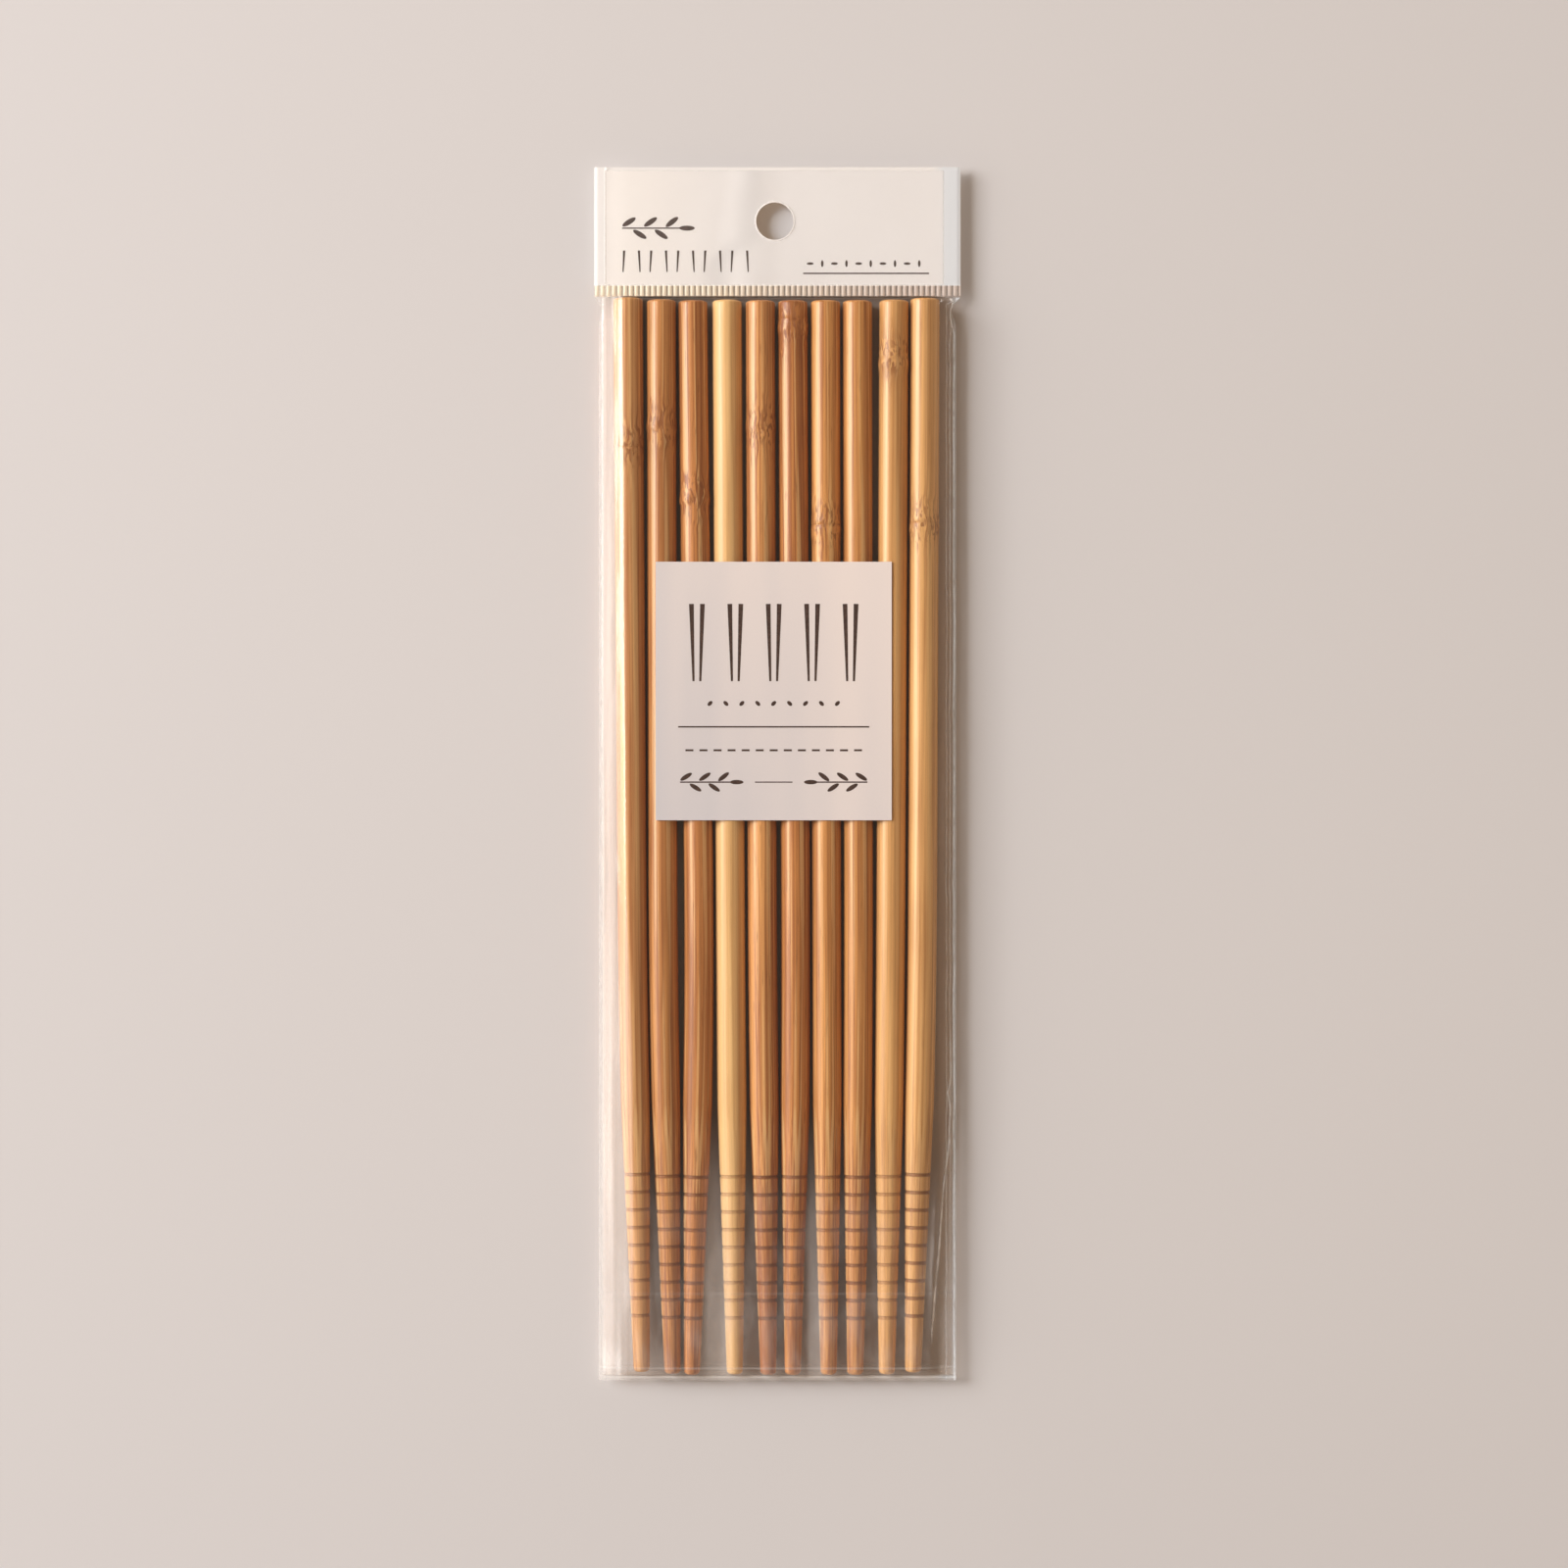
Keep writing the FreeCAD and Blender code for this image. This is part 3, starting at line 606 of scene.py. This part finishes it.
def strip_material(strip_colour):
    """White plastic strip, with a soft wave beside the hang hole, a faint mottle, painted light at its
    left, and painted shade in the wave and along its right edge.
    """
    material, tree = new_material("header_plastic")
    place, x, y, _ = tree.own_place()
    mottle, soft = tree.noise(place, 900.0, 3.0), tree.noise(place, 45.0)
    tone = tree.mix(tree.scaled(mottle, 0.25, tree.times(soft, 0.5)), strip_colour,
                    toned(strip_colour, [0.965] * 3))
    # Painted light: the strip is lighter and warmer towards the left
    tone = tree.mix(tree.fade(x, -36.0, -4.0), tone, toned(strip_colour, (1.08, 1.06, 1.03)))

    # Painted shade of the wave leans to the left under the hole, and a painted shadow line follows the
    # right edge
    bend = tree.scaled(tree.noise(place, 60.0, 1.0), 4.0, x)
    wave = tree.fade(tree.apart(bend, -3.5), 0.0, 7.0)
    fall = tree.plus(bend, tree.span(y, 108.0, 116.0, 7.0, 0.0))
    shade = tree.times(tree.fade(tree.apart(fall, -3.8), 0.0, 4.6), 0.50)
    edge = tree.span(x, STRIP_HIGH[0] - 0.30, STRIP_HIGH[0] - 0.15)
    tone = tree.mix(tree.math("MAXIMUM", shade, edge), tone, toned(strip_colour, [0.80] * 3))

    height = tree.scaled(wave, 0.6, tree.times(soft, 0.8))
    plastic = tree.principled(Base_Color=tone, Roughness=tree.scaled(mottle, 0.12, 0.38),
                              Normal=tree.bump(height, 0.6, 0.0006))
    # Thin white plastic lets light through, so its shadow is soft and warm
    through = tree.add("ShaderNodeBsdfTransparent", {"Color": (1.0, 0.85, 0.70)}).outputs[0]
    tree.surface(tree.blend(tree.times(tree.shadow_ray(), 0.58), plastic, through))
    return material


def paper_material(label_colour):
    """Smooth coated paper, with faint tone bands, fine fibre, and painted light that makes it paler towards
    the upper right.
    """
    material, tree = new_material("coated_paper")
    place, x, y, _ = tree.own_place()
    fibre = tree.noise(place, 2500.0, 3.0, roughness=0.6)
    share = tree.scaled(tree.noise(place, (110, 8, 0), 1.0), 0.5, 0.12)
    # Painted light: the paper is paler towards the upper right
    share = tree.scaled(x, 0.009, tree.scaled(y, 0.005, share))
    share = tree.scaled(fibre, 0.12, share)
    tone = tree.mix(tree.span(share, 0.0, 1.0), toned(label_colour, (0.90, 0.895, 0.915)),
                    toned(label_colour, (1.25, 1.15, 1.07), 0.92))
    tree.surface(tree.principled(Base_Color=tone, Roughness=tree.scaled(fibre, 0.15, 0.50),
                                 Normal=tree.bump(fibre, 0.25, 0.00002)))
    return material


def ink_material(ink_colour):
    """Dark brown ink, a little uneven."""
    material, tree = new_material("printed_ink")
    patch = tree.noise(tree.own_place()[0], 1800.0)
    tone = tree.mix(tree.span(patch, 0.4, 0.7), ink_colour, toned(ink_colour, [1.7] * 3))
    tree.surface(tree.principled(Base_Color=tone, Roughness=tree.scaled(patch, 0.2, 0.45)))
    return material


def floor_material(floor_colour):
    """Matt pale floor, with a very faint unevenness."""
    material, tree = new_material("studio_floor")
    cloud = tree.noise(tree.own_place()[0], 6.0, 3.0)
    tone = tree.mix(cloud, toned(floor_colour, [0.985] * 3), floor_colour)
    tree.surface(tree.principled(Base_Color=tone, Roughness=0.9, Specular_IOR_Level=0.1))
    return material


# Sticks


def stick_stations():
    """Places along a straight stick from its head, with the radius at each."""
    head_depth, head_round, tip_round = 0.6, 1.0, 0.9
    stations = []
    for step in range(5):
        turn = math.radians(22.5 * step)
        stations.append((head_depth * (1 - math.cos(turn)), RADIUS - head_round * (1 - math.sin(turn))))
    grooves = [LENGTH - RING_FROM_TIP - ring * RING_PITCH for ring in range(RINGS)]
    places = [4.0 * step for step in range(1, 44)] + [LENGTH - 6.0, LENGTH - 3.0]
    for groove in grooves:
        places += [groove + RING_WIDTH * share for share in (-0.62, -0.38, 0.38, 0.62)]
        places.append(groove + RING_PITCH / 2)
    for place in sorted(places):
        radius = RADIUS - (RADIUS - TIP_RADIUS) * max(place - STRAIGHT - BEND, 0) / TAPER
        if min(abs(place - groove) for groove in grooves) < RING_WIDTH / 2:
            radius -= RING_DEPTH
        stations.append((place, radius))
    for step in range(6):
        turn = math.radians(18 * step)
        stations.append((LENGTH - tip_round * (1 - math.sin(turn)),
                         TIP_RADIUS - tip_round * (1 - math.cos(turn))))
    return stations


def make_straight_stick():
    """Straight stick along +X, with its head at the origin, extruded from station to station."""
    stations = stick_stations()
    deselect()
    bpy.ops.mesh.primitive_circle_add(vertices=48, radius=stations[0][1] * MM, fill_type="NGON",
                                      rotation=(0, math.pi / 2, 0))
    stick = bpy.context.object
    bpy.ops.object.transform_apply(location=True, rotation=True, scale=True)
    bpy.ops.object.mode_set(mode="EDIT")
    bpy.ops.mesh.select_all(action="SELECT")
    for (place, radius), (next_place, next_radius) in zip(stations, stations[1:]):
        step = ((next_place - place) * MM, 0, 0)
        bpy.ops.mesh.extrude_region_move(TRANSFORM_OT_translate={"value": step})
        share = next_radius / radius
        bpy.ops.transform.resize(value=(1, share, share), center_override=(next_place * MM, 0, 0))
    bpy.ops.mesh.select_all(action="SELECT")
    bpy.ops.mesh.normals_make_consistent(inside=False)
    bpy.ops.object.mode_set(mode="OBJECT")
    return stick


def swell_node(stick, place):
    """Cuts loops at a growth node and swells it a little, with a fine groove in its middle."""
    pick(stick)
    for offset, share in SWELLING:
        spot = ((place + offset) * MM, 0, 0)
        bpy.ops.object.mode_set(mode="EDIT")
        bpy.ops.mesh.select_all(action="SELECT")
        bpy.ops.mesh.bisect(plane_co=spot, plane_no=(1, 0, 0))
        bpy.ops.transform.resize(value=(1, share, share), center_override=spot)
        bpy.ops.object.mode_set(mode="OBJECT")
    # The film presses on the stick's top and back, so it swells there less than to its sides
    room = (RADIUS + CLEARANCE * 0.6) * MM
    for vertex in stick.data.vertices:
        vertex.co.z = min(max(vertex.co.z, -room), room)


def stick_line(number):
    """Corners of a stick's middle line: head, start of the bend, shoulder and tip, with tangents."""
    head_x, lean, bend, _ = STICKS[number]
    _, high = node_box(f"chopstick_{number + 1:02d}")
    lean, bend = math.radians(lean), math.radians(bend)
    head = Vector((head_x, high[1] - RADIUS * abs(math.sin(lean)) * 0.9, AXIS_HEIGHT))
    first, middle, last = (Vector((math.sin(lean + part), -math.cos(lean + part), 0))
                           for part in (0, bend / 2, bend))
    turn = head + first * STRAIGHT
    shoulder = turn + middle * BEND
    tip = shoulder + last * TAPER
    return [(head, first), (turn, first), (shoulder, last), (tip, last)]


LINES = [stick_line(number) for number in range(len(STICKS))]


def bend_stick(stick, number):
    """Lays a straight stick along its own bent line."""
    data = bpy.data.curves.new("stick_line", "CURVE")
    data.dimensions = "3D"
    data.resolution_u = 32
    data.twist_mode = "Z_UP"
    spline = data.splines.new("BEZIER")
    points = LINES[number]
    spline.bezier_points.add(len(points) - 1)
    for index, (point, (place, along)) in enumerate(zip(spline.bezier_points, points)):
        before = (place - points[index - 1][0]).length / 3 if index else 1.0
        after = (points[index + 1][0] - place).length / 3 if index + 1 < len(points) else 1.0
        point.handle_left_type = point.handle_right_type = "FREE"
        point.co = place * MM
        point.handle_left = (place - along * before) * MM
        point.handle_right = (place + along * after) * MM
    guide = place_in_scene("stick_line", data)
    apply_modifier(stick, "CURVE", object=guide, deform_axis="POS_X")
    bpy.data.objects.remove(guide)
    bpy.data.curves.remove(data)


class CHOPSTICKS_OT_sticks(bpy.types.Operator):
    """Turns one straight stick, then copies, swells and bends it ten times"""
    bl_idname = "chopsticks.sticks"
    bl_label = "Bamboo sticks"

    def execute(self, context):
        master = make_straight_stick()
        group = bamboo_group(settings().ring_colour)
        for number, (_, _, _, node_place) in enumerate(STICKS):
            stick = place_in_scene(f"bamboo_stick_{number + 1:02d}", master.data.copy())
            stick.data.name = stick.name
            if node_place:
                swell_node(stick, node_place)
            # The materials read the straight stick's coordinates, so the fibres follow its bend
            own = stick.data.attributes.new("stick_place", "FLOAT_VECTOR", "POINT")
            places = [0.0] * (3 * len(stick.data.vertices))
            stick.data.vertices.foreach_get("co", places)
            own.data.foreach_set("vector", places)
            bend_stick(stick, number)
            pick(stick)
            bpy.ops.object.shade_smooth_by_angle(angle=math.radians(40))
            finish_piece(stick, bamboo_material(number, group), "bamboo", f"chopstick_{number + 1:02d}")
        bpy.data.objects.remove(master)
        return {"FINISHED"}


# Film


def stick_at(number, y):
    """Place across the pack and radius of a stick at a height y of the pack."""
    points = [place for place, _ in LINES[number]]
    y = min(max(y, points[3].y), points[0].y)
    for start, end in zip(points, points[1:]):
        if y >= end.y:
            break
    share = (start.y - y) / (start.y - end.y)
    radius = RADIUS
    if end is points[3]:
        radius += (TIP_RADIUS - RADIUS) * share
    return start.x + (end.x - start.x) * share, radius


def touch_angle(radius, run, rise):
    """Angle over the horizontal at which a line from a foot, run to the side, touches a circle."""
    return math.acos(min(radius / math.hypot(run, rise), 1)) + math.atan2(rise, run)


def slope_bow(share, y, side):
    """How far a side slope of the film lies off a straight slope, with its folds."""
    mound = math.sin(math.pi * share)
    soft = noise.noise(Vector((share * 1.5 + side * 9, y * 0.05, 4.0))) * 0.28
    fine = noise.noise(Vector((share * 4.0 + side * 5, y * 0.16, 1.0))) * 0.10
    bow = mound * (0.3 + soft + fine)
    if side > 0:
        # Long crease at the lower right, where the film falls in beside the tapered ends
        for y_at, share_at, high in RIDGE:
            bow += high * math.exp(-((y - y_at) / 9.0) ** 2 - ((share - share_at) / 0.10) ** 2)
    else:
        bow += 0.5 * mound * smooth(-108, -124, y) * (1 - abs(2 * share - 1))
    return bow


def dome_height(x, y, sag, ripple):
    """Height of the front film's outer side over the sticks."""
    places = [stick_at(number, y) for number in range(len(STICKS))]
    outer = [(centre, radius + CLEARANCE + FILM) for centre, radius in places]
    on_label = LABEL_LOW[0] - 1 < x < LABEL_HIGH[0] + 1 and LABEL_LOW[1] - 1 < y < LABEL_HIGH[1] + 1
    wave = 0.0
    if not on_label:
        wave = ripple * (0.5 + 0.5 * noise.noise(Vector((x * 0.13, y * 0.045, 2.0))))
    for (centre, radius), side in ((outer[0], -1), (outer[-1], 1)):
        across = (x - centre) * side
        if across <= 0:
            continue
        run = FOOT - centre * side
        turn = touch_angle(radius, run, FLAT - AXIS_HEIGHT)
        touch = radius * math.cos(turn)
        if across <= touch:
            return AXIS_HEIGHT + math.sqrt(radius * radius - across * across) + wave
        top = AXIS_HEIGHT + radius * math.sin(turn)
        share = min((across - touch) / (run - touch), 1)
        return top + (FLAT - top) * share + wave * (1 - share) + slope_bow(share, y, side)
    for (left, radius), (right, _) in zip(outer, outer[1:]):
        if left <= x <= right:
            share = (x - left) / (right - left)
            drop = sag * (0.75 + 0.5 * noise.noise(Vector((left, y * 0.03, 7.0))))
            return AXIS_HEIGHT + radius - drop * math.sin(math.pi * share) ** 2 + wave
    return FLAT


def header_height(x, y):
    """Height of the front film's outer side over the strip and the weld band."""
    inside = smooth(HEADER_HALF, HEADER_HALF - 0.5, abs(x))
    height = FLAT + (STRIP_THICKNESS + STRIP_ROOM) * inside
    if y < BAND_TOP:
        height = FLAT + STRIP_THICKNESS + STRIP_ROOM
        phase = ((x + HEADER_HALF) / RIB_PITCH) % 1
        if 0.25 < phase < 0.75 and BAND_BOTTOM + 0.1 < y < BAND_TOP - 0.05:
            height += RIB_HEIGHT
    else:
        height += 0.04 * abs(noise.noise(Vector((x * 0.12, y * 0.09, 5.0)))) * inside
        if -36.9 < x < -35.9:
            # Small fold along the strip's left edge
            height += 0.13 * (-35.9 - x)
    rim = math.hypot(x - HOLE_X, y - HOLE_Y) - HOLE_RADIUS
    return height + 0.05 * math.exp(-(rim / 0.5) ** 2)


def film_height(x, y, sag, ripple):
    """Height of the front film's outer side anywhere on the pack."""
    if y > BAND_BOTTOM + 0.01:
        return header_height(x, y)
    if y < -128.94 or abs(x) > FOOT:
        return FLAT + 0.05 * math.exp(-((abs(x) - FOOT - 0.45) / 0.16) ** 2)
    height = dome_height(x, y, sag, ripple)
    # Steep walls up from the band and from the tip weld, in a few close rows each
    if y > 102.1:
        cover = FLAT + STRIP_THICKNESS + STRIP_ROOM
        return FLAT + STRIP_THICKNESS + (height - cover) * (0.75 if y < 102.13 else 0.05)
    if y > 102.03:
        return height - 0.1
    if y < -128.87:
        return FLAT + (height - FLAT) * (0.55 if y > -128.9 else 0.08)
    return height


def tray_height(x, y):
    """Height of the back film's lower side: level under the sticks, and up to the welds round them."""
    low = WELD - FILM
    if abs(x) >= FOOT or y >= BAND_BOTTOM or y <= TIP_WALL - FILM:
        return low
    side = (FOOT - abs(x)) / TRAY_SLOPE
    tip = (y - TIP_WALL + FILM) / TRAY_TIP_SLOPE
    head = (BAND_BOTTOM - y) / TRAY_HEAD_SLOPE
    return low * (1 - min(side, tip, head, 1))


def edge_at(y, side):
    """Half width of the pack's outer edge: the bag is pulled in under the header's corners."""
    if y > BAND_BOTTOM:
        return HEADER_HALF
    pull = math.exp(-((y - 99.4) / 1.9) ** 2) * (1.1 if side > 0 else 0.5)
    ear = smooth(100.6, BAND_BOTTOM, y)
    return POUCH_HALF + (HEADER_HALF - POUCH_HALF) * ear - pull


def make_sheet(name, columns, rows, height_at):
    """Grid over the pack whose vertices are moved to their places, as a sculptor would."""
    deselect()
    bpy.ops.mesh.primitive_grid_add(x_subdivisions=len(columns) - 1, y_subdivisions=len(rows) - 1, size=1)
    sheet = bpy.context.object
    sheet.name = sheet.data.name = name
    places = []
    for y in rows:
        for x in columns:
            if abs(x) > LOOSE:
                share = (edge_at(y, x) - LOOSE) / (HEADER_HALF - LOOSE)
                x = math.copysign(LOOSE + (abs(x) - LOOSE) * share, x)
            places += [x * MM, y * MM, height_at(x, y) * MM]
    sheet.data.vertices.foreach_set("co", places)
    sheet.data.update()
    return sheet


def finish_film(sheet, outwards, angle, node):
    """Gives a sheet its thickness, cuts its hang hole and finishes it."""
    apply_modifier(sheet, "SOLIDIFY", thickness=FILM * MM, offset=outwards, use_even_offset=False)
    deselect()
    bpy.ops.mesh.primitive_cylinder_add(vertices=96, radius=HOLE_RADIUS * MM, depth=0.01,
                                        location=(HOLE_X * MM, HOLE_Y * MM, FLAT * MM))
    cutter = bpy.context.object
    bpy.ops.object.transform_apply(location=True, rotation=True, scale=True)
    apply_modifier(sheet, "BOOLEAN", operation="DIFFERENCE", object=cutter, solver="EXACT")
    bpy.data.objects.remove(cutter)
    pick(sheet)
    bpy.ops.object.shade_smooth_by_angle(angle=math.radians(angle))
    material = bpy.data.materials.get("bag_film") or film_material(settings().film_haze)
    finish_piece(sheet, material, "clear_film", node)


class CHOPSTICKS_OT_front_film(bpy.types.Operator):
    """Drapes the front film over the sticks, with its welds, ribs, header front and folds"""
    bl_idname = "chopsticks.front_film"
    bl_label = "Front film"

    def execute(self, context):
        sag, ripple = settings().film_sag / MM, settings().ripple / MM
        sheet = make_sheet("front_film_draped", FILM_COLUMNS, FILM_ROWS,
                           lambda x, y: film_height(x, y, sag, ripple))
        finish_film(sheet, -1, 50, "front_film")
        return {"FINISHED"}


class CHOPSTICKS_OT_back_film(bpy.types.Operator):
    """Shapes the back film: its tray under the sticks, its flange and the back of the header"""
    bl_idname = "chopsticks.back_film"
    bl_label = "Back film"

    def execute(self, context):
        sheet = make_sheet("back_film_tray", TRAY_COLUMNS, TRAY_ROWS, tray_height)
        finish_film(sheet, 1, 35, "back_film")
        return {"FINISHED"}


# Print on the header and the label


def lay_down(mark, x, y, height, turn):
    """Turns a printed shape and puts it on the surface at a height."""
    mark.rotation_euler = (0, 0, math.radians(turn))
    mark.location = (x * MM, y * MM, height * MM + settings().print_thickness / 2)
    return mark


def stroke(x, y, length, wide, narrow, height, turn=0.0):
    """Tapered printed bar whose middle is at x, y, turned from upright."""
    bpy.ops.mesh.primitive_cone_add(vertices=4, radius1=narrow * MM / math.sqrt(2), depth=length * MM,
                                    radius2=wide * MM / math.sqrt(2), rotation=(0, 0, math.pi / 4))
    bar = bpy.context.object
    bpy.ops.object.transform_apply(location=False, rotation=True, scale=False)
    bar.rotation_euler = (-math.pi / 2, 0, 0)
    bpy.ops.object.transform_apply(location=False, rotation=True, scale=False)
    bar.scale = (1, 1, settings().print_thickness / (wide * MM))
    return lay_down(bar, x, y, height, turn)


def leaf(x, y, length, wide, height, turn):
    """Printed oval leaf."""
    bpy.ops.mesh.primitive_uv_sphere_add(segments=16, ring_count=6, radius=0.5 * MM)
    oval = bpy.context.object
    oval.scale = (wide, length, settings().print_thickness / MM)
    return lay_down(oval, x, y, height, turn)


def sprig(x, y, height, side, size=1.0):
    """Generic sprig: a level stem with leaves on both sides of it."""
    long, wide, lift = 2.9 * size, 0.95 * size, 1.15 * size
    marks = [stroke(x, y, 11.0 * size, 0.28, 0.28, height, 90)]
    for offset, turn in ((-4.2, 58), (-2.2, -58), (-0.2, 56), (1.8, -56), (3.8, 52)):
        leaf_y = y + math.copysign(lift, turn)
        marks.append(leaf(x + side * offset * size, leaf_y, long, wide, height, -side * turn))
    marks.append(leaf(x + side * 6.6 * size, y, long, wide, height, 90))
    return marks


def finish_print(marks, name, slot):
    """Joins printed shapes into one piece of ink."""
    ink = bpy.data.materials.get("printed_ink") or ink_material(settings().ink_colour)
    finish_piece(join(marks, name), ink, slot)


class CHOPSTICKS_OT_label(bpy.types.Operator):
    """Finishes the label's paper and prints plain shapes on it"""
    bl_idname = "chopsticks.label"
    bl_label = "Label and its print"

    def execute(self, context):
        finish_node("label", paper_material(settings().label_colour))
        top = LABEL_HIGH[2]
        middle = (LABEL_LOW[0] + LABEL_HIGH[0]) / 2
        deselect()
        marks = []
        for pair in range(-2, 3):
            for side in (-1, 1):
                at = middle + pair * 8.2 + side * 0.95
                marks.append(stroke(at, 28.0, 16.5, 1.0, 0.45, top, -side * 1.6))
        for step in range(-4, 5):
            marks.append(leaf(middle + step * 3.4, 15.0, 1.3, 0.8, top, 45 if step % 2 else -45))
        marks.append(stroke(middle, 10.0, 40.8, 0.32, 0.32, top, 90))
        for step in range(-6, 7):
            marks.append(stroke(middle + step * 3.0, 5.0, 1.7, 0.42, 0.42, top, 90))
        for side in (1, -1):
            marks += sprig(middle - side * 14.5, -1.8, top, side)
        marks.append(stroke(middle, -1.8, 8.0, 0.24, 0.24, top, 90))
        finish_print(marks, "label_print", "label_paper")
        return {"FINISHED"}


class CHOPSTICKS_OT_header(bpy.types.Operator):
    """Finishes the header's white strip and prints plain shapes on it"""
    bl_idname = "chopsticks.header"
    bl_label = "Header strip and its print"

    def execute(self, context):
        finish_node("header_strip", strip_material(settings().strip_colour))
        top = STRIP_HIGH[2]
        deselect()
        marks = sprig(-27.0, 117.0, top, 1, 1.15)
        for step in range(10):
            odd = step % 2
            at, lean = -33.0 + step * 2.9 + odd * 0.5, 3 if odd else -3
            marks.append(stroke(at, 109.9, 4.6, 0.5, 0.25, top, lean))
            marks.append(leaf(7.0 + step * 2.6, 109.4, 1.5, 0.55, top, 0 if odd else 90))
        marks.append(stroke(19.0, 107.3, 27.0, 0.3, 0.3, top, 90))
        finish_print(marks, "header_print", "white_strip")
        return {"FINISHED"}


# Stage


def hang_lamp(data, place, power, tint, at=(0, 0, 0)):
    """Hangs a lamp at a place and turns it towards a point."""
    data.energy = power
    data.color = tint
    lamp = place_in_scene(data.name, data)
    lamp.location = place
    lamp.rotation_euler = (Vector(at) - lamp.location).to_track_quat("-Z", "Y").to_euler()


class CHOPSTICKS_OT_stage(bpy.types.Operator):
    """Lays the pale floor, hangs the lamps and sets the camera over the pack"""
    bl_idname = "chopsticks.stage"
    bl_label = "Stage, light and camera"

    def execute(self, context):
        deselect()
        bpy.ops.mesh.primitive_plane_add(size=4, location=(0, 0, -0.00005))
        floor = context.object
        floor.name = "floor"
        floor.data.materials.append(floor_material(settings().floor_colour))

        key = settings().key_power
        for name, place, size, share, tint in AREA_LAMPS:
            data = bpy.data.lights.new(name, "AREA")
            data.shape = "RECTANGLE"
            data.size, data.size_y = size
            hang_lamp(data, place, key * share, tint)
        patch = bpy.data.lights.new("warm_patch", "SPOT")
        patch.spot_size, patch.spot_blend = math.radians(11), 1.0
        patch.shadow_soft_size = 0.25
        hang_lamp(patch, (-1.2, 0.9, 1.6), key * 0.55, (1.0, 0.84, 0.64), (0.15, 0.04, 0))

        # The sky is brightest at the horizon, and a little brighter at the right
        world = bpy.data.worlds.new("studio")
        world.use_nodes = True
        tree = Tree(world.node_tree)
        across, _, up = tree.parts(tree.add("ShaderNodeTexCoord").outputs["Generated"])
        level = tree.times(tree.span(up, 0.0, 1.0, 0.68, 0.15), tree.scaled(across, 0.1, 1.0))
        sky = world.node_tree.nodes["Background"]
        tree.feed(sky.inputs["Color"], (1.0, 0.76, 0.57))
        tree.feed(sky.inputs["Strength"], level)
        context.scene.world = world

        data = bpy.data.cameras.new("camera")
        data.lens = 100
        data.sensor_width = 36
        camera = place_in_scene("camera", data)
        camera.location = (0.0014, -0.0022, AXIS_HEIGHT * MM + settings().camera_distance)
        context.scene.camera = camera
        context.scene.view_settings.view_transform = "Standard"
        return {"FINISHED"}


class CHOPSTICKS_PT_panel(bpy.types.Panel):
    """Lists the steps in their order"""
    bl_idname = "CHOPSTICKS_PT_panel"
    bl_label = "Chopsticks"
    bl_space_type = "VIEW_3D"
    bl_region_type = "UI"
    bl_category = "Chopsticks"

    def draw(self, context):
        for name in PackSettings.__annotations__:
            self.layout.prop(context.scene.chopstick_pack, name)
        for step in STEPS:
            self.layout.operator(step.bl_idname)


STEPS = (CHOPSTICKS_OT_sticks, CHOPSTICKS_OT_front_film, CHOPSTICKS_OT_back_film, CHOPSTICKS_OT_header,
         CHOPSTICKS_OT_label, CHOPSTICKS_OT_stage)
CLASSES = (PackSettings, *STEPS, CHOPSTICKS_PT_panel)


def register():
    for item in CLASSES:
        bpy.utils.register_class(item)
    bpy.types.Scene.chopstick_pack = bpy.props.PointerProperty(type=PackSettings)


def unregister():
    del bpy.types.Scene.chopstick_pack
    for item in reversed(CLASSES):
        bpy.utils.unregister_class(item)


def main():
    """Registers the add-on and runs its steps in order."""
    register()
    bpy.ops.chopsticks.sticks()
    bpy.ops.chopsticks.front_film()
    bpy.ops.chopsticks.back_film()
    bpy.ops.chopsticks.header()
    bpy.ops.chopsticks.label()
    bpy.ops.chopsticks.stage()


if __name__ == "__main__":
    main()
